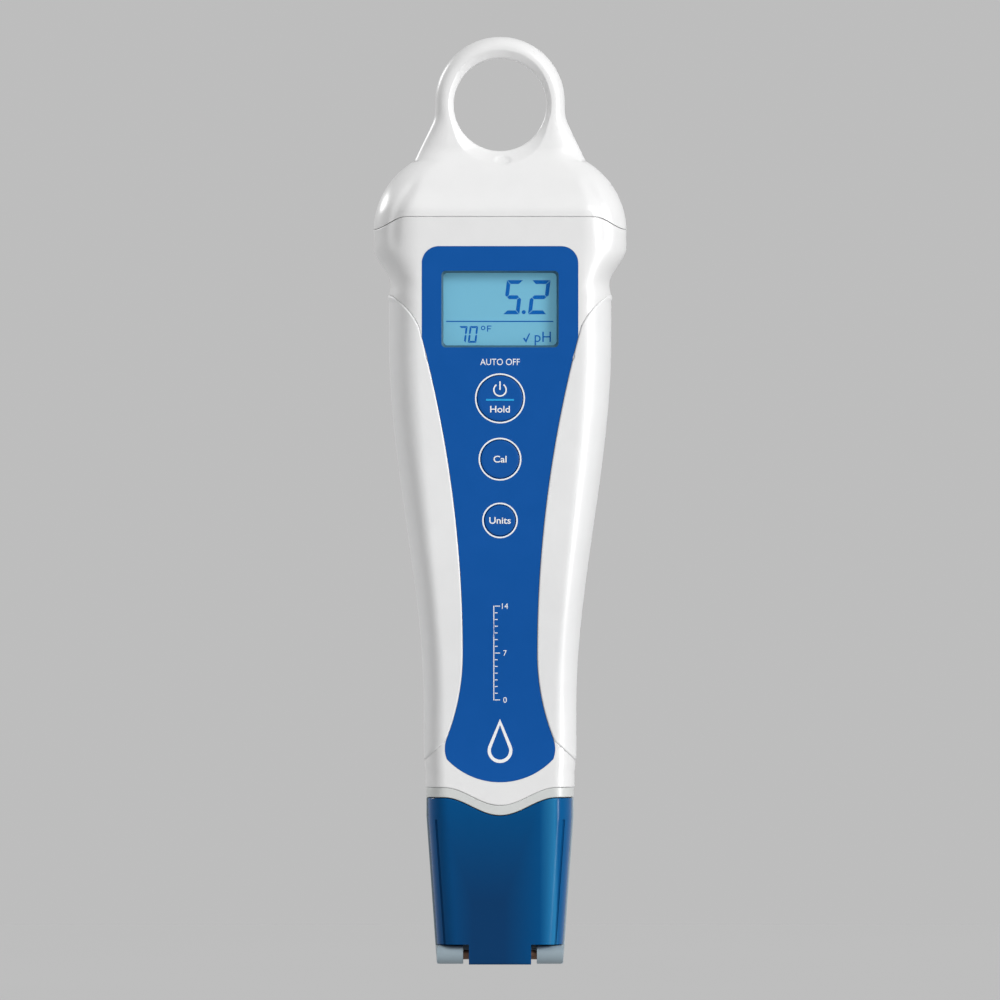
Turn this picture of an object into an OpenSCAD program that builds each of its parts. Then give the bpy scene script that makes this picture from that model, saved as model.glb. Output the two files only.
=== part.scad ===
// Hand-held pH test pen: a tapering body with a display and three keys, a battery cap with a hanging
// loop, and a glass-bulb probe under a hinged-clip storage cap.
// Millimetres. +Z is up, the display faces -Y, and the origin is the centre of the base.

/* [Body] */
// Half width across the ears, the widest place
ear_w = 24; // [23.6:0.1:24.4]
// Half width across the display
head_w = 21.1; // [20.8:0.1:21.4]
// Half width of the straight lower body
waist_w = 14.5; // [14.3:0.1:14.7]
// Half depth of the head
head_d = 12.5; // [12.3:0.1:12.8]
// Half depth of the lower body
waist_d = 8.7; // [8.6:0.1:8.9]
// Wall thickness at the front and rear
wall_y = 2; // [1.9:0.1:2.1]
// Wall thickness at the sides, under the grips
wall_x = 2.6; // [2.5:0.1:2.8]
// Thickness of the side grips
grip_t = 1; // [0.9:0.1:1.1]
// How far the grips stand proud of the housing
grip_proud = 0.2; // [0.1:0.05:0.25]

/* [Label and display] */
// Half width of the label beside the display
label_w = 14.8; // [14.6:0.1:15]
// Half width of the label at its narrowest
label_waist = 7; // [6.8:0.1:7.2]
// Label thickness
label_t = 0.45; // [0.4:0.05:0.5]
// Display opening width
window_w = 22.2; // [21.8:0.1:22.4]
// Display opening height
window_h = 14.5; // [14.2:0.1:14.8]
// Height of the display's centre
window_z = 124.2; // [124:0.1:124.4]

/* [Keys] */
// Height of the hold key
hold_z = 107.3; // [107:0.1:107.6]
// Radius of the hold key's cap
hold_r = 4.3; // [4.2:0.1:4.4]
// Height of the calibration key
cal_z = 95.8; // [95.5:0.1:96.1]
// Radius of the calibration key's cap
cal_r = 3.6; // [3.5:0.1:3.7]
// Height of the units key
units_z = 84.2; // [83.9:0.1:84.5]
// Radius of the units key's cap
units_r = 2.9; // [2.8:0.1:3]
// Gap round a key cap
key_gap = 0.12; // [0.08:0.02:0.16]
// Key travel
key_travel = 0.45; // [0.4:0.01:0.5]

/* [Loop] */
// Radius of the hanging hole
loop_r = 8.8; // [8.6:0.1:8.9]
// Height of the hanging hole's centre
hole_z = 163.1; // [163:0.1:163.3]
// Outer radius of the loop
loop_outer_r = 12.3; // [12.2:0.1:12.4]
// Height of the loop's centre
loop_z = 163.7; // [163.5:0.1:164]
// Half thickness of the loop
loop_d = 3.7; // [3.5:0.1:3.9]
// Chamfer round the hole's rims
loop_chamfer = 1; // [0.8:0.1:1.1]

/* [Battery] */
// Radius of the battery cell
cell_r = 5.25; // [5.1:0.05:5.25]
// Length of the battery cell, with its nub
cell_h = 44.5; // [44:0.1:44.5]
// Where the cell's axis lies behind the middle plane
cell_y = 2.2; // [2.1:0.1:2.3]

/* [Probe and storage cap] */
// Outer radius of the probe sleeve
sleeve_r = 5; // [4.9:0.05:5]
// Inner radius of the soaking cup
cup_r = 5.5; // [5.5:0.05:5.6]
// Half width of the storage cap at its foot
foot_w = 11.7; // [11.65:0.05:11.75]
// Half depth of the storage cap at its foot
foot_d = 7.3; // [7.3:0.05:7.5]
// Radius of the clip's hinge knuckles
knuckle_r = 1.75; // [1.7:0.05:1.8]
// Radius of the clip's hinge pin
pin_r = 0.9; // [0.8:0.05:0.95]
// Thickness of the clip
clip_t = 1.05; // [1:0.05:1.1]

/* [Hidden] */
$fn = 64;

fit = 0.15;            // gap between parts that only meet
keys = [[hold_z, hold_r], [cal_z, cal_r], [units_z, units_r]];
big = 60;              // reach of a cutting block
corner_steps = 7;      // segments in each rounded corner of a section
corner_share = 0.8;    // part of the depth that a corner's rounding takes up

// Levels
seam_z = 141.7;        // battery cap seam, across the front
seam_drop = 2.3;       // how far the seam dips at the sides
ear_from = 129;        // the ears flare out from here
ear_to = 136;
shoulder_z = 139;      // centre of the shoulder's arc
shoulder_r = 15.5;
kink_z = 152.3;        // the shoulder meets the loop's neck
neck_top = 163;        // the loop's straight sides end here
neck_z = 160.6;        // the neck bends outwards round here
neck_slope = 0.245;
taper_from = 49;       // the body widens from here
taper_to = 118;
front_taper_to = 80;
rear_taper_to = 116;
grip_foot = 37.2;
wave_hi = 33.6;        // housing's lower edge at the sides
wave_lo = 30.2;        // and at the middle
wave_w = 10.8;         // half width of the dip
collar_h = 1.85;       // height of the collar's visible band
deck_z = 136.5;        // underside of the deck that closes the housing's mouth
deck_t = 2;

// Wide smooth step from a to b as z goes from z0 to z1
function smooth(t) = let(u = max(0, min(1, t))) u * u * (3 - 2 * u);
function between(z, z0, z1, a, b) = a + (b - a) * smooth((z - z0) / (z1 - z0));

// A section row is [z, half width, front depth, rear depth, corner width].
function half_w(z) =
    z > neck_top ? loop_outer_r
    : z > kink_z ? let(d = neck_z - z) loop_outer_r - 0.05 + neck_slope * (d + sqrt(d * d + 1))
    : z > shoulder_z ? ear_w - shoulder_r + sqrt(pow(shoulder_r, 2) - pow(z - shoulder_z, 2))
    : z > ear_from ? between(z, ear_from, ear_to, head_w - 0.35, ear_w)
    : z > 126 ? between(z, 126, ear_from, head_w, head_w - 0.35)
    : z > grip_foot ? between(z, taper_from, taper_to, waist_w - grip_proud, head_w - grip_proud)
    : waist_w - 0.35;
function top_depth(z) = between(z, 142.5, 155, head_d, loop_d);
function corner_w(z) =
    z > kink_z ? between(z, kink_z, neck_top, 6, 2.2)
    : z > shoulder_z ? between(z, shoulder_z, kink_z, 8.6, 6)
    : max(between(z, 62, 113, 3.9, 5.6), half_w(z) - 15.4 - (z > 113 ? 0 : 99));
function body_row(z) = [z, half_w(z),
    z > 142.5 ? top_depth(z) : between(z, grip_foot, front_taper_to, waist_d, head_d),
    z > 142.5 ? top_depth(z) : between(z, grip_foot, rear_taper_to, waist_d, head_d),
    corner_w(z)];
function collar_row(z) = [z, waist_w - 0.5, waist_d - 0.15, waist_d - 0.15, 3.9];
function foot_row(z) = [z, foot_w + 0.07 * min(z, 28), foot_d + 0.042 * min(z, 28),
    foot_d + 0.042 * min(z, 28), 3.9];

// Points round one section, inset by tx at the sides and ty at the front and rear
function corner(x, y, rx, ry, from, z) =
    [for (i = [0:corner_steps]) let(a = from + 90 * i / corner_steps) [x + rx * cos(a), y + ry * sin(a), z]];
function section(row, tx, ty) = let(w = row[1] - tx, f = row[2] - ty, r = row[3] - ty,
    c = max(row[4] - tx, 1), cf = corner_share * f, cr = corner_share * r)
    concat(corner(w - c, cf - f, c, cf, -90, row[0]), corner(w - c, r - cr, c, cr, 0, row[0]),
        corner(c - w, r - cr, c, cr, 90, row[0]), corner(c - w, cf - f, c, cf, 180, row[0]));

// Solid through a list of section rows
module loft(rows, tx = 0, ty = 0) {
    n = 4 * (corner_steps + 1);
    top = len(rows) - 1;
    points = [for (row = rows) each section(row, tx, ty)];
    sides = [for (k = [0:top - 1]) for (i = [0:n - 1]) let(a = k * n + i, b = k * n + (i + 1) % n)
        each [[a, a + n, b + n], [a, b + n, b]]];
    polyhedron(points, concat([[for (i = [0:n - 1]) i]], sides,
        [[for (i = [0:n - 1]) top * n + n - 1 - i]]));
}

body_levels = [29, 37.2, 37.4, 44, 50, 56, 62, 68, 74, 80, 87, 94, 101, 108, 115, 121, 126, 129,
    130.5, 132, 133.5, 136, 139, 143];
cap_levels = [137, 139, 141, 143, 145, 147, 149, 151, 152.3, 153.5, 155, 157, 159.5, 162.5, loop_z];
body_rows = [for (z = body_levels) body_row(z)];
cavity_rows = [for (z = concat([28], [for (z = body_levels) if (z > grip_foot) z], [146])) body_row(z)];
cap_rows = [for (z = cap_levels) body_row(z)];
foot_rows = [for (z = [0, 3.8, 16, 28, 34]) foot_row(z)];
clear_rows = [for (z = [-2, 3.8, 16, 28, 36]) foot_row(z)];   // the same, past both ends

// ---------------------------------------------------------------- outlines seen from the front
// Each is drawn in X and Z, and front_prism() runs it through the part along Y.
module front_prism(y0 = -big, y1 = big) {
    translate([0, y1, 0]) rotate([90, 0, 0]) linear_extrude(y1 - y0) children();
}

// Height of the wavy edge at x, lifted by h
function wave(x, h) = let(u = min(abs(x) / wave_w, 1))
    wave_lo + h + (wave_hi - wave_lo) * (1 - cos(180 * u)) / 2;
module above_wave(h) {
    polygon(concat([for (i = [-10:10]) let(x = i * wave_w / 10) [x, wave(x, h)]],
        [[big, wave_hi + h], [big, 2 * big], [-big, 2 * big], [-big, wave_hi + h]]));
}

// The battery cap's side of the seam: level across the front, dipping towards the sides
module above_seam(h) {
    dip = [for (i = [0:6]) [18 + i, seam_z + h - seam_drop * smooth(i / 6)]];
    polygon(concat([for (p = [6:-1:0]) [-dip[p][0], dip[p][1]]], dip,
        [[big, seam_z + h - seam_drop], [big, 4 * big], [-big, 4 * big], [-big, seam_z + h - seam_drop]]));
}

label_top = 136.1;
label_corner = 3.2;
label_join = 119.5;    // the straight sides end here
label_narrow_z = 59;   // level of the narrowest place
label_foot_z = 34.6;
label_foot_r = 13.8;
label_side_r = 234.4;  // long arc above the narrowest place
label_flare_r = 44;    // short arc below it

// Edge arcs of the label, which the grips' inner edges follow with a gap of g
module side_arcs(g) {
    for (s = [-1, 1]) {
        intersection() {
            translate([s * (label_waist + label_side_r), label_narrow_z]) circle(label_side_r - g, $fn = 300);
            translate([-big, label_narrow_z]) square([2 * big, big + 20]);
        }
        intersection() {
            translate([s * (label_waist + label_flare_r), label_narrow_z])
                circle(label_flare_r - g, $fn = 200);
            translate([-big, 0]) square([2 * big, label_narrow_z]);
        }
    }
}
module label_outline() {
    hull() {
        for (s = [-1, 1]) translate([s * (label_w - label_corner), label_top - label_corner])
            circle(label_corner);
        translate([-label_w, label_join]) square([2 * label_w, 1]);
    }
    intersection() {
        difference() {
            translate([-label_w, label_foot_z]) square([2 * label_w, label_join - label_foot_z + 0.01]);
            side_arcs(0);
        }
        union() {
            translate([0, label_foot_z + label_foot_r]) circle(label_foot_r, $fn = 128);
            translate([-label_w, label_narrow_z - 5]) square([2 * label_w, 70]);
        }
    }
}

// Region of the right-hand grip, inside its seams by g
module grip_outline(g) {
    crown = [28, 115];
    crown_r = 14;
    intersection() {
        side_arcs(g);
        translate([label_waist, 0]) square([big, 2 * big + 20]);
        union() {
            translate([0, 50]) square([big, crown[1] - 50]);
            translate(crown) circle(crown_r - g, $fn = 96);
            translate([crown[0], crown[1] - 10]) square([big, crown_r - g + 10]);
            polygon([[8, 44.5 + g], [10.2, 42.4 + g], [14.5, 38.5 + g], [big, 38.5 + g], [big, 51], [5, 51]]);
        }
    }
}

module window_block(w, h, y0, y1, r = 0.8) {
    front_prism(y0, y1) translate([0, window_z]) hull() for (sx = [-1, 1], sz = [-1, 1])
        translate([sx * (w / 2 - r), sz * (h / 2 - r)]) circle(r, $fn = 32);
}
module plate(x, y0, y1, z0, z1) {
    translate([-x, y0, z0]) cube([2 * x, y1 - y0, z1 - z0]);
}
// A rod along Y from y0 to y1
module rod_y(x, z, r, y0, y1) {
    translate([x, y0, z]) rotate([-90, 0, 0]) cylinder(r = r, h = y1 - y0);
}

// ---------------------------------------------------------------- housing
front_y = -head_d;                      // plane of the label's face, in the upper body
inner_y = front_y + wall_y;             // inner face of the front wall
board_y = -6.4;                         // front face of the circuit board
board_t = 1;
boss_x = 15.4;
boss_levels = [108.5, 131.5];

// The whole housing before it is split: grips' pockets, label pocket and cavity cut out
module housing_blank() {
    difference() {
        loft(body_rows);
        loft(cavity_rows, wall_x, wall_y);
        for (s = [0, 1]) mirror([s, 0, 0]) difference() {
            front_prism() grip_outline(0);
            loft(cavity_rows, grip_t - grip_proud + 0.08, grip_t - grip_proud + 0.08);
        }
        front_prism() above_seam(-fit);
        difference() {
            translate([-big, -big, 20]) cube([2 * big, 2 * big, 20]);
            front_prism() above_wave(0);
        }
    }
}
module label_slab(depth) {
    // follows the front profile: everything in front of the surface sunk by depth
    levels = [30, 37.2, 44, 50, 56, 62, 68, 74, 80, 140];
    profile = [for (z = levels) [-body_row(z)[2] + depth, z]];
    rotate([90, 0, 90]) translate([0, 0, -big]) linear_extrude(2 * big)
        polygon(concat([[-big, 30]], profile, [[-big, 140]]));
}

module front_housing() {
    color("whitesmoke") difference() {
        union() {
            difference() {
                housing_blank();
                translate([-big, 0, 0]) cube([2 * big, big, 200]);
                intersection() {
                    front_prism() label_outline();
                    label_slab(label_t + 0.02);
                }
            }
            for (sx = [-1, 1], z = boss_levels) rod_y(sx * boss_x, z, 1.8, inner_y - 0.3, board_y - 0.05);
        }
        window_block(window_w, window_h, -big, 0);
        plate(13.2, inner_y - 0.4, inner_y + 0.5, window_z - 9.4, window_z + 9.4);
        for (k = keys) rod_y(0, k[0], k[1] + key_gap, -big, 0);
        for (sx = [-1, 1], z = boss_levels) rod_y(sx * boss_x, z, 0.75, board_y - 3.2, 0);
    }
}

module rear_housing() {
    color("whitesmoke") difference() {
        housing_blank();
        translate([-big, -big, 0]) cube([2 * big, big + 0.02, 200]);
    }
}

module side_grip() {
    intersection() {
        difference() {
            loft(body_rows, -grip_proud, -grip_proud);
            loft(cavity_rows, grip_t - grip_proud, grip_t - grip_proud);
        }
        front_prism() grip_outline(0.12);
    }
}
module side_grip_left() {
    color("gainsboro") mirror([1, 0, 0]) side_grip();
}
module side_grip_right() {
    color("gainsboro") side_grip();
}

// ---------------------------------------------------------------- label, window and display
module face_label() {
    color("royalblue") difference() {
        intersection() {
            front_prism() label_outline();
            difference() {
                label_slab(label_t);
                label_slab(0);
            }
        }
        window_block(window_w, window_h, -big, 0);
        for (k = keys) rod_y(0, k[0], k[1] + key_gap, -big, 0);
    }
}
module display_window() {
    color("lightcyan", 0.5) {
        window_block(window_w - 0.1, window_h - 0.1, inner_y - 1, inner_y - 0.3);
        plate(13, inner_y - 0.35, inner_y + 0.45, window_z - 9.2, window_z + 9.2);
    }
}
module lcd_cell() {
    color("lightskyblue") {
        plate(12.6, inner_y + 0.5, inner_y + 1.4, window_z - 9, window_z + 9);
        plate(12.6, inner_y + 1.4, inner_y + 2.3, window_z - 8, window_z + 8);
    }
}
module backlight() {
    color("white") plate(12.4, inner_y + 2.4, inner_y + 3.5, window_z - 8, window_z + 8);
}
module lcd_holder() {
    color("dimgray") difference() {
        plate(13.4, inner_y + 0.5, board_y - 0.02, window_z - 9.9, window_z + 9.9);
        plate(12.7, inner_y, board_y + 1, window_z - 9.1, window_z + 9.1);
    }
}
module elastomer_strips() {
    color("darkslategray") for (s = [-1, 1])
        plate(12, inner_y + 1.45, board_y - 0.02, window_z + s * 8.55 - 0.4, window_z + s * 8.55 + 0.4);
}

// ---------------------------------------------------------------- circuit board
module main_board() {
    color("seagreen") difference() {
        front_prism(board_y, board_y + board_t)
            polygon([[-8.5, 62], [8.5, 62], [10, 68], [11.5, 102], [17, 105], [17, 134.8], [-17, 134.8],
                [-17, 105], [-11.5, 102], [-10, 68]]);
        for (sx = [-1, 1], z = boss_levels) rod_y(sx * boss_x, z, 0.85, -big, 0);
        // notch for the battery tube's mouth
        plate(mouth_r - 3.35, -big, 0, mouth_floor - 1.3, 3 * big);
    }
}
module board_chips() {
    back = board_y + board_t + 0.01;
    color("black") {
        translate([-4, back, 70]) cube([8, 1.1, 8]);
        translate([8, back, 112]) cube([6, 1, 8]);
        translate([-14, back, 114]) cube([5, 1, 5]);
        for (i = [0:3]) translate([8.5, back, 122 + 2.4 * i]) cube([2.4, 0.7, 1.2]);
    }
}
module tactile_switches() {
    color("silver") for (k = keys) {
        plate(2.25, board_y - 1.5, board_y - 0.01, k[0] - 2.25, k[0] + 2.25);
        rod_y(0, k[0], 1.1, board_y - 1.8, board_y - 1.45);
    }
}
module board_screws() {
    back = board_y + board_t + 0.01;
    color("silver") for (sx = [-1, 1], z = boss_levels) difference() {
        union() {
            rod_y(sx * boss_x, z, 0.72, board_y - 2.8, back + 0.2);
            rod_y(sx * boss_x, z, 1.45, back, back + 0.9);
        }
        translate([sx * boss_x, back + 0.9, z]) cube([2.2, 0.9, 0.4], center = true);
    }
}

// ---------------------------------------------------------------- keys
module key(at) {
    flange_y = inner_y + 0.1;
    rod_y(0, at[0], at[1], front_y, flange_y + 0.3);
    rod_y(0, at[0], at[1] + 0.8, flange_y, flange_y + 0.7);
    rod_y(0, at[0], 1.3, flange_y + 0.5, board_y - 1.9 - key_travel);
}
module hold_key() {
    color("royalblue") key(keys[0]);
}
module cal_key() {
    color("royalblue") key(keys[1]);
}
module units_key() {
    color("royalblue") key(keys[2]);
}

// ---------------------------------------------------------------- battery
tube_r = 5.55;
tube_wall = 0.85;
mouth_r = 7.35;
mouth_floor = 131.5;
cell_top = 133.05;
spring_h = 4;
tube_floor = cell_top - cell_h - spring_h - 0.3;
spigot_r = mouth_r - fit;
spigot_foot = cell_top + 0.35;

module battery_tube() {
    color("lightgray") difference() {
        union() {
            translate([0, cell_y, tube_floor - 1.2]) cylinder(r = tube_r + tube_wall, h = 50);
            translate([0, cell_y, mouth_floor - 1])
                cylinder(r = mouth_r + 0.8, h = deck_z - mouth_floor + 1.5);
            loft([body_row(deck_z), body_row(deck_z + deck_t)], wall_x + 0.1, wall_y + 0.1);
        }
        translate([0, cell_y, tube_floor]) cylinder(r = tube_r, h = 60);
        translate([0, cell_y, mouth_floor]) cylinder(r = mouth_r, h = 20);
    }
}
module battery_cell() {
    color("goldenrod") translate([0, cell_y, cell_top - cell_h]) {
        cylinder(r = cell_r, h = cell_h - 1);
        cylinder(r = 1.9, h = cell_h);
    }
}
module negative_contact() {
    color("silver") translate([0, cell_y, tube_floor]) cylinder(r = 5.3, h = 0.3);
}
module battery_spring() {
    turns = 3;
    per_turn = 14;
    wire_r = 0.3;
    sides = 6;
    rise = spring_h - 2 * wire_r - 0.06;
    rings = turns * per_turn;
    points = [for (k = [0:rings]) for (j = [0:sides - 1])
        let(a = 360 * k / per_turn, b = 360 * j / sides, r = 3.6 + wire_r * cos(b))
        [r * cos(a), r * sin(a), rise * k / rings + wire_r * sin(b)]];
    sides_f = [for (k = [0:rings - 1]) for (j = [0:sides - 1])
        let(a = k * sides + j, b = k * sides + (j + 1) % sides)
        each [[a, b + sides, a + sides], [a, b, b + sides]]];
    color("silver") translate([0, cell_y, tube_floor + 0.33 + wire_r])
        polyhedron(points, concat([[for (j = [0:sides - 1]) sides - 1 - j]], sides_f,
            [[for (j = [0:sides - 1]) rings * sides + j]]));
}
module positive_contact() {
    color("gold") translate([0, cell_y, cell_top + 0.04]) cylinder(r = 6.6, h = 0.3);
}
module battery_lead() {
    // flat strip bonded along the battery tube's side
    color("gold") translate([tube_r + tube_wall + 0.03, cell_y - 1.5, tube_floor]) cube([0.3, 3, 45.5]);
}

// ---------------------------------------------------------------- battery cap with the hanging loop
module loop_ring() {
    c = corner_w(neck_top);
    cy = corner_share * loop_d;
    arc = [for (i = [0:corner_steps]) let(a = -90 + 90 * i / corner_steps)
        [loop_outer_r - c + c * cos(a), cy - loop_d + cy * sin(a)]];
    outline = concat([[6, -loop_d]], arc, [for (i = [corner_steps:-1:0]) [arc[i][0], -arc[i][1]]],
        [[6, loop_d]]);
    translate([0, 0, loop_z]) rotate([90, 0, 0]) rotate_extrude(angle = 180) polygon(outline);
}
module battery_cap() {
    groove_z = deck_z + 0.2;
    color("white") difference() {
        union() {
            difference() {
                union() {
                    loft(cap_rows);
                    loop_ring();
                }
                difference() {
                    translate([-big, -big, 100]) cube([2 * big, 2 * big, 50]);
                    front_prism() above_seam(0);
                }
                loft([for (z = [136, 139, 142, 144.5]) body_row(z)], wall_x, wall_y + 0.3);
            }
            translate([0, cell_y, spigot_foot]) cylinder(r = spigot_r, h = 145 - spigot_foot);
        }
        translate([0, 0, hole_z]) rotate([90, 0, 0]) {
            cylinder(r = loop_r, h = 30, center = true);
            for (s = [-1, 1]) scale([1, 1, s]) translate([0, 0, loop_d - loop_chamfer])
                cylinder(r1 = loop_r, r2 = loop_r + 2 * loop_chamfer, h = 2 * loop_chamfer);
        }
        translate([0, cell_y, groove_z - 0.45]) difference() {
            cylinder(r = 10, h = 0.9);
            translate([0, 0, -1]) cylinder(r = 6.5, h = 3);
        }
        translate([0, cell_y, spigot_foot - 1]) cylinder(r = 5.2, h = 8);
    }
}
module cap_oring() {
    color("black") translate([0, cell_y, deck_z + 0.2]) rotate_extrude() translate([6.9, 0])
        circle(0.4, $fn = 24);
}

// ---------------------------------------------------------------- probe
stem_x = -1.3;
probe_end = 11;
collar_foot = 26;

module probe_collar() {
    color("lightgray") difference() {
        union() {
            intersection() {
                loft([for (z = [26, 36]) collar_row(z)]);
                difference() {
                    front_prism() above_wave(-collar_h);
                    front_prism() above_wave(-fit);
                }
            }
            loft([for (z = [wave_hi - collar_h, 41]) collar_row(z)], wall_x, wall_y);
            loft([for (z = [29, 33]) collar_row(z)], wall_x + 0.3, wall_y + 0.6);
            loft([for (z = [collar_foot, 31]) foot_row(z)], 2.45, 2.45);
        }
        translate([0, 0, 20]) cylinder(r = sleeve_r + 0.05, h = 30);
    }
}
module probe_sleeve() {
    color("dimgray") difference() {
        translate([0, 0, probe_end]) cylinder(r = sleeve_r, h = 48 - probe_end);
        translate([0, 0, probe_end - 1]) cylinder(r = sleeve_r - 0.8, h = 60);
        for (a = [45, 135]) rotate(a) translate([-10, -1.3, probe_end - 1]) cube([20, 2.6, 6]);
        translate([0, 0, 23.55]) difference() {
            cylinder(r = 8, h = 0.9);
            translate([0, 0, -1]) cylinder(r = sleeve_r - 0.4, h = 3);
        }
    }
}
module probe_oring() {
    color("black") translate([0, 0, 24]) rotate_extrude() translate([sleeve_r + 0.03, 0])
        circle(0.42, $fn = 24);
}
module glass_stem() {
    color("azure", 0.5) translate([stem_x, 0, 0]) difference() {
        translate([0, 0, 16.3]) cylinder(r = 2.4, h = 33);
        translate([0, 0, 15]) cylinder(r = 1.9, h = 40);
    }
}
module glass_bulb() {
    color("azure", 0.5) translate([stem_x, 0, 14.2]) difference() {
        sphere(r = 2.5);
        sphere(r = 2.1);
        translate([-5, -5, 1.95]) cube(10);
    }
}
module silver_wire() {
    color("silver") translate([stem_x, 0, 17]) cylinder(r = 0.35, h = 34, $fn = 24);
}
module reference_junction() {
    color("ivory") difference() {
        translate([0, 0, 18]) cylinder(r = sleeve_r - 0.85, h = 3);
        translate([stem_x, 0, 10]) cylinder(r = 2.45, h = 20);
        translate([2.75, 0, 10]) cylinder(r = 0.85, h = 20);
    }
}
module temperature_sensor() {
    color("silver") translate([2.75, 0, 13]) {
        translate([0, 0, 0.8]) cylinder(r = 0.8, h = 34);
        translate([0, 0, 0.8]) sphere(r = 0.8, $fn = 32);
    }
}
module probe_connector() {
    back = board_y + board_t + 0.01;
    color("ivory") translate([-5, back, 64]) cube([10, 2.4, 4]);
}
// A wire from point a to point b
module wire(a, b, r) {
    d = b - a;
    turn = atan2(d[1], d[0]);
    lean = acos(d[2] / norm(d));
    translate(a) rotate([0, lean, turn]) cylinder(r = r, h = norm(d), $fn = 24);
}
module probe_wires() {
    for (x = [-1.3, 1, 2.75]) color("firebrick") wire([x, 0, 51.3], [x, -4.2, 63.9], 0.35);
}

// ---------------------------------------------------------------- storage cap and its clip
tab_w = 5.9;           // half width of the hinge tab
knuckle_in = 7;        // inner face of each knuckle
foot_gap = 3.8;        // underside of the shell above the knuckles
pin_y = -4.9;
hinge_z = knuckle_r + 0.1;   // the clip clears the surface that the cap stands on
clip_front = -1.5;     // front edge of the clip's wings
clip_inset = clip_t - 0.3;
pin_end = knuckle_in + 3.3;

module storage_cap() {
    color("steelblue") difference() {
        loft(foot_rows);
        // recess that the clip lies in
        difference() {
            translate([-big, clip_front - fit, -1]) cube([2 * big, big, 60]);
            loft(clear_rows, clip_inset + fit, clip_inset + fit);
        }
        // inside of the shell round the soaking cup
        difference() {
            loft([for (z = [4.8, 28, 36]) foot_row(z)], 2.2, 2.2);
            cylinder(r = cup_r + 1.1, h = 25.2);
        }
        // openings for the knuckles
        for (s = [-1, 1]) translate([s * (tab_w + 10), 0, 0]) cube([20, 40, 2 * foot_gap], center = true);
        translate([0, 0, 4.8]) cylinder(r = cup_r, h = 40);
        front_prism() above_wave(-collar_h - fit);
        translate([-20, pin_y, hinge_z]) rotate([0, 90, 0]) cylinder(r = pin_r + 0.02, h = 40);
        translate([-big, 5.4, -1]) cube([2 * big, big, 1 + foot_gap]);
        // moulded grooves along both edges of the front
        for (s = [-1, 1]) hull() for (z = [foot_gap, 27.5])
            translate([s * (foot_w - 1.5 + 0.07 * z), -foot_d, z]) cube([0.35, 3.2, 0.01], center = true);
    }
}
module storage_sponge() {
    color("khaki") translate([0, 0, 4.82]) cylinder(r = cup_r - 0.15, h = 1.3);
}
module cap_clip() {
    color("aliceblue", 0.7) difference() {
        union() {
            difference() {
                loft(foot_rows, -0.3, -0.3);
                loft(clear_rows, clip_inset, clip_inset);
                translate([-big, clip_front - big, -1]) cube([2 * big, big, 60]);
                translate([-big, -big, -1]) cube([2 * big, 2 * big, 1 + hinge_z]);
            }
            // knuckles, each with its arm along the foot
            intersection() {
                loft(foot_rows, -0.3, -0.3);
                for (s = [-1, 1]) translate([s * (knuckle_in + 3), 0, 0]) {
                    translate([-3, pin_y, hinge_z]) rotate([0, 90, 0]) cylinder(r = knuckle_r, h = 6);
                    translate([-3, pin_y, hinge_z - knuckle_r]) cube([6, 12.6, 2 * knuckle_r]);
                }
            }
            // thumb lip
            translate([-5, foot_d + 0.9, 25]) cube([10, 1.6, 1.6]);
        }
        front_prism() above_wave(-collar_h - fit);
        translate([-pin_end - 0.2, pin_y, hinge_z]) rotate([0, 90, 0])
            cylinder(r = pin_r + 0.05, h = 2 * pin_end + 0.4);
    }
}
module clip_pin() {
    color("sienna") translate([-pin_end, pin_y, hinge_z]) rotate([0, 90, 0])
        cylinder(r = pin_r, h = 2 * pin_end);
}

front_housing();
rear_housing();
side_grip_left();
side_grip_right();
face_label();
display_window();
lcd_cell();
lcd_holder();
backlight();
elastomer_strips();
main_board();
board_chips();
tactile_switches();
board_screws();
hold_key();
cal_key();
units_key();
battery_tube();
battery_cell();
battery_spring();
negative_contact();
positive_contact();
battery_lead();
battery_cap();
cap_oring();
probe_collar();
probe_sleeve();
glass_stem();
glass_bulb();
silver_wire();
reference_junction();
temperature_sensor();
probe_oring();
probe_connector();
probe_wires();
storage_cap();
storage_sponge();
cap_clip();
clip_pin();
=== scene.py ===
"""Looks of the pH test pen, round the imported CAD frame. Lengths are in millimetres until solid()."""

import math
from contextlib import contextmanager

import bmesh
import bpy
import numpy as np
from mathutils import Matrix, Vector
from mathutils.geometry import delaunay_2d_cdt


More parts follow.
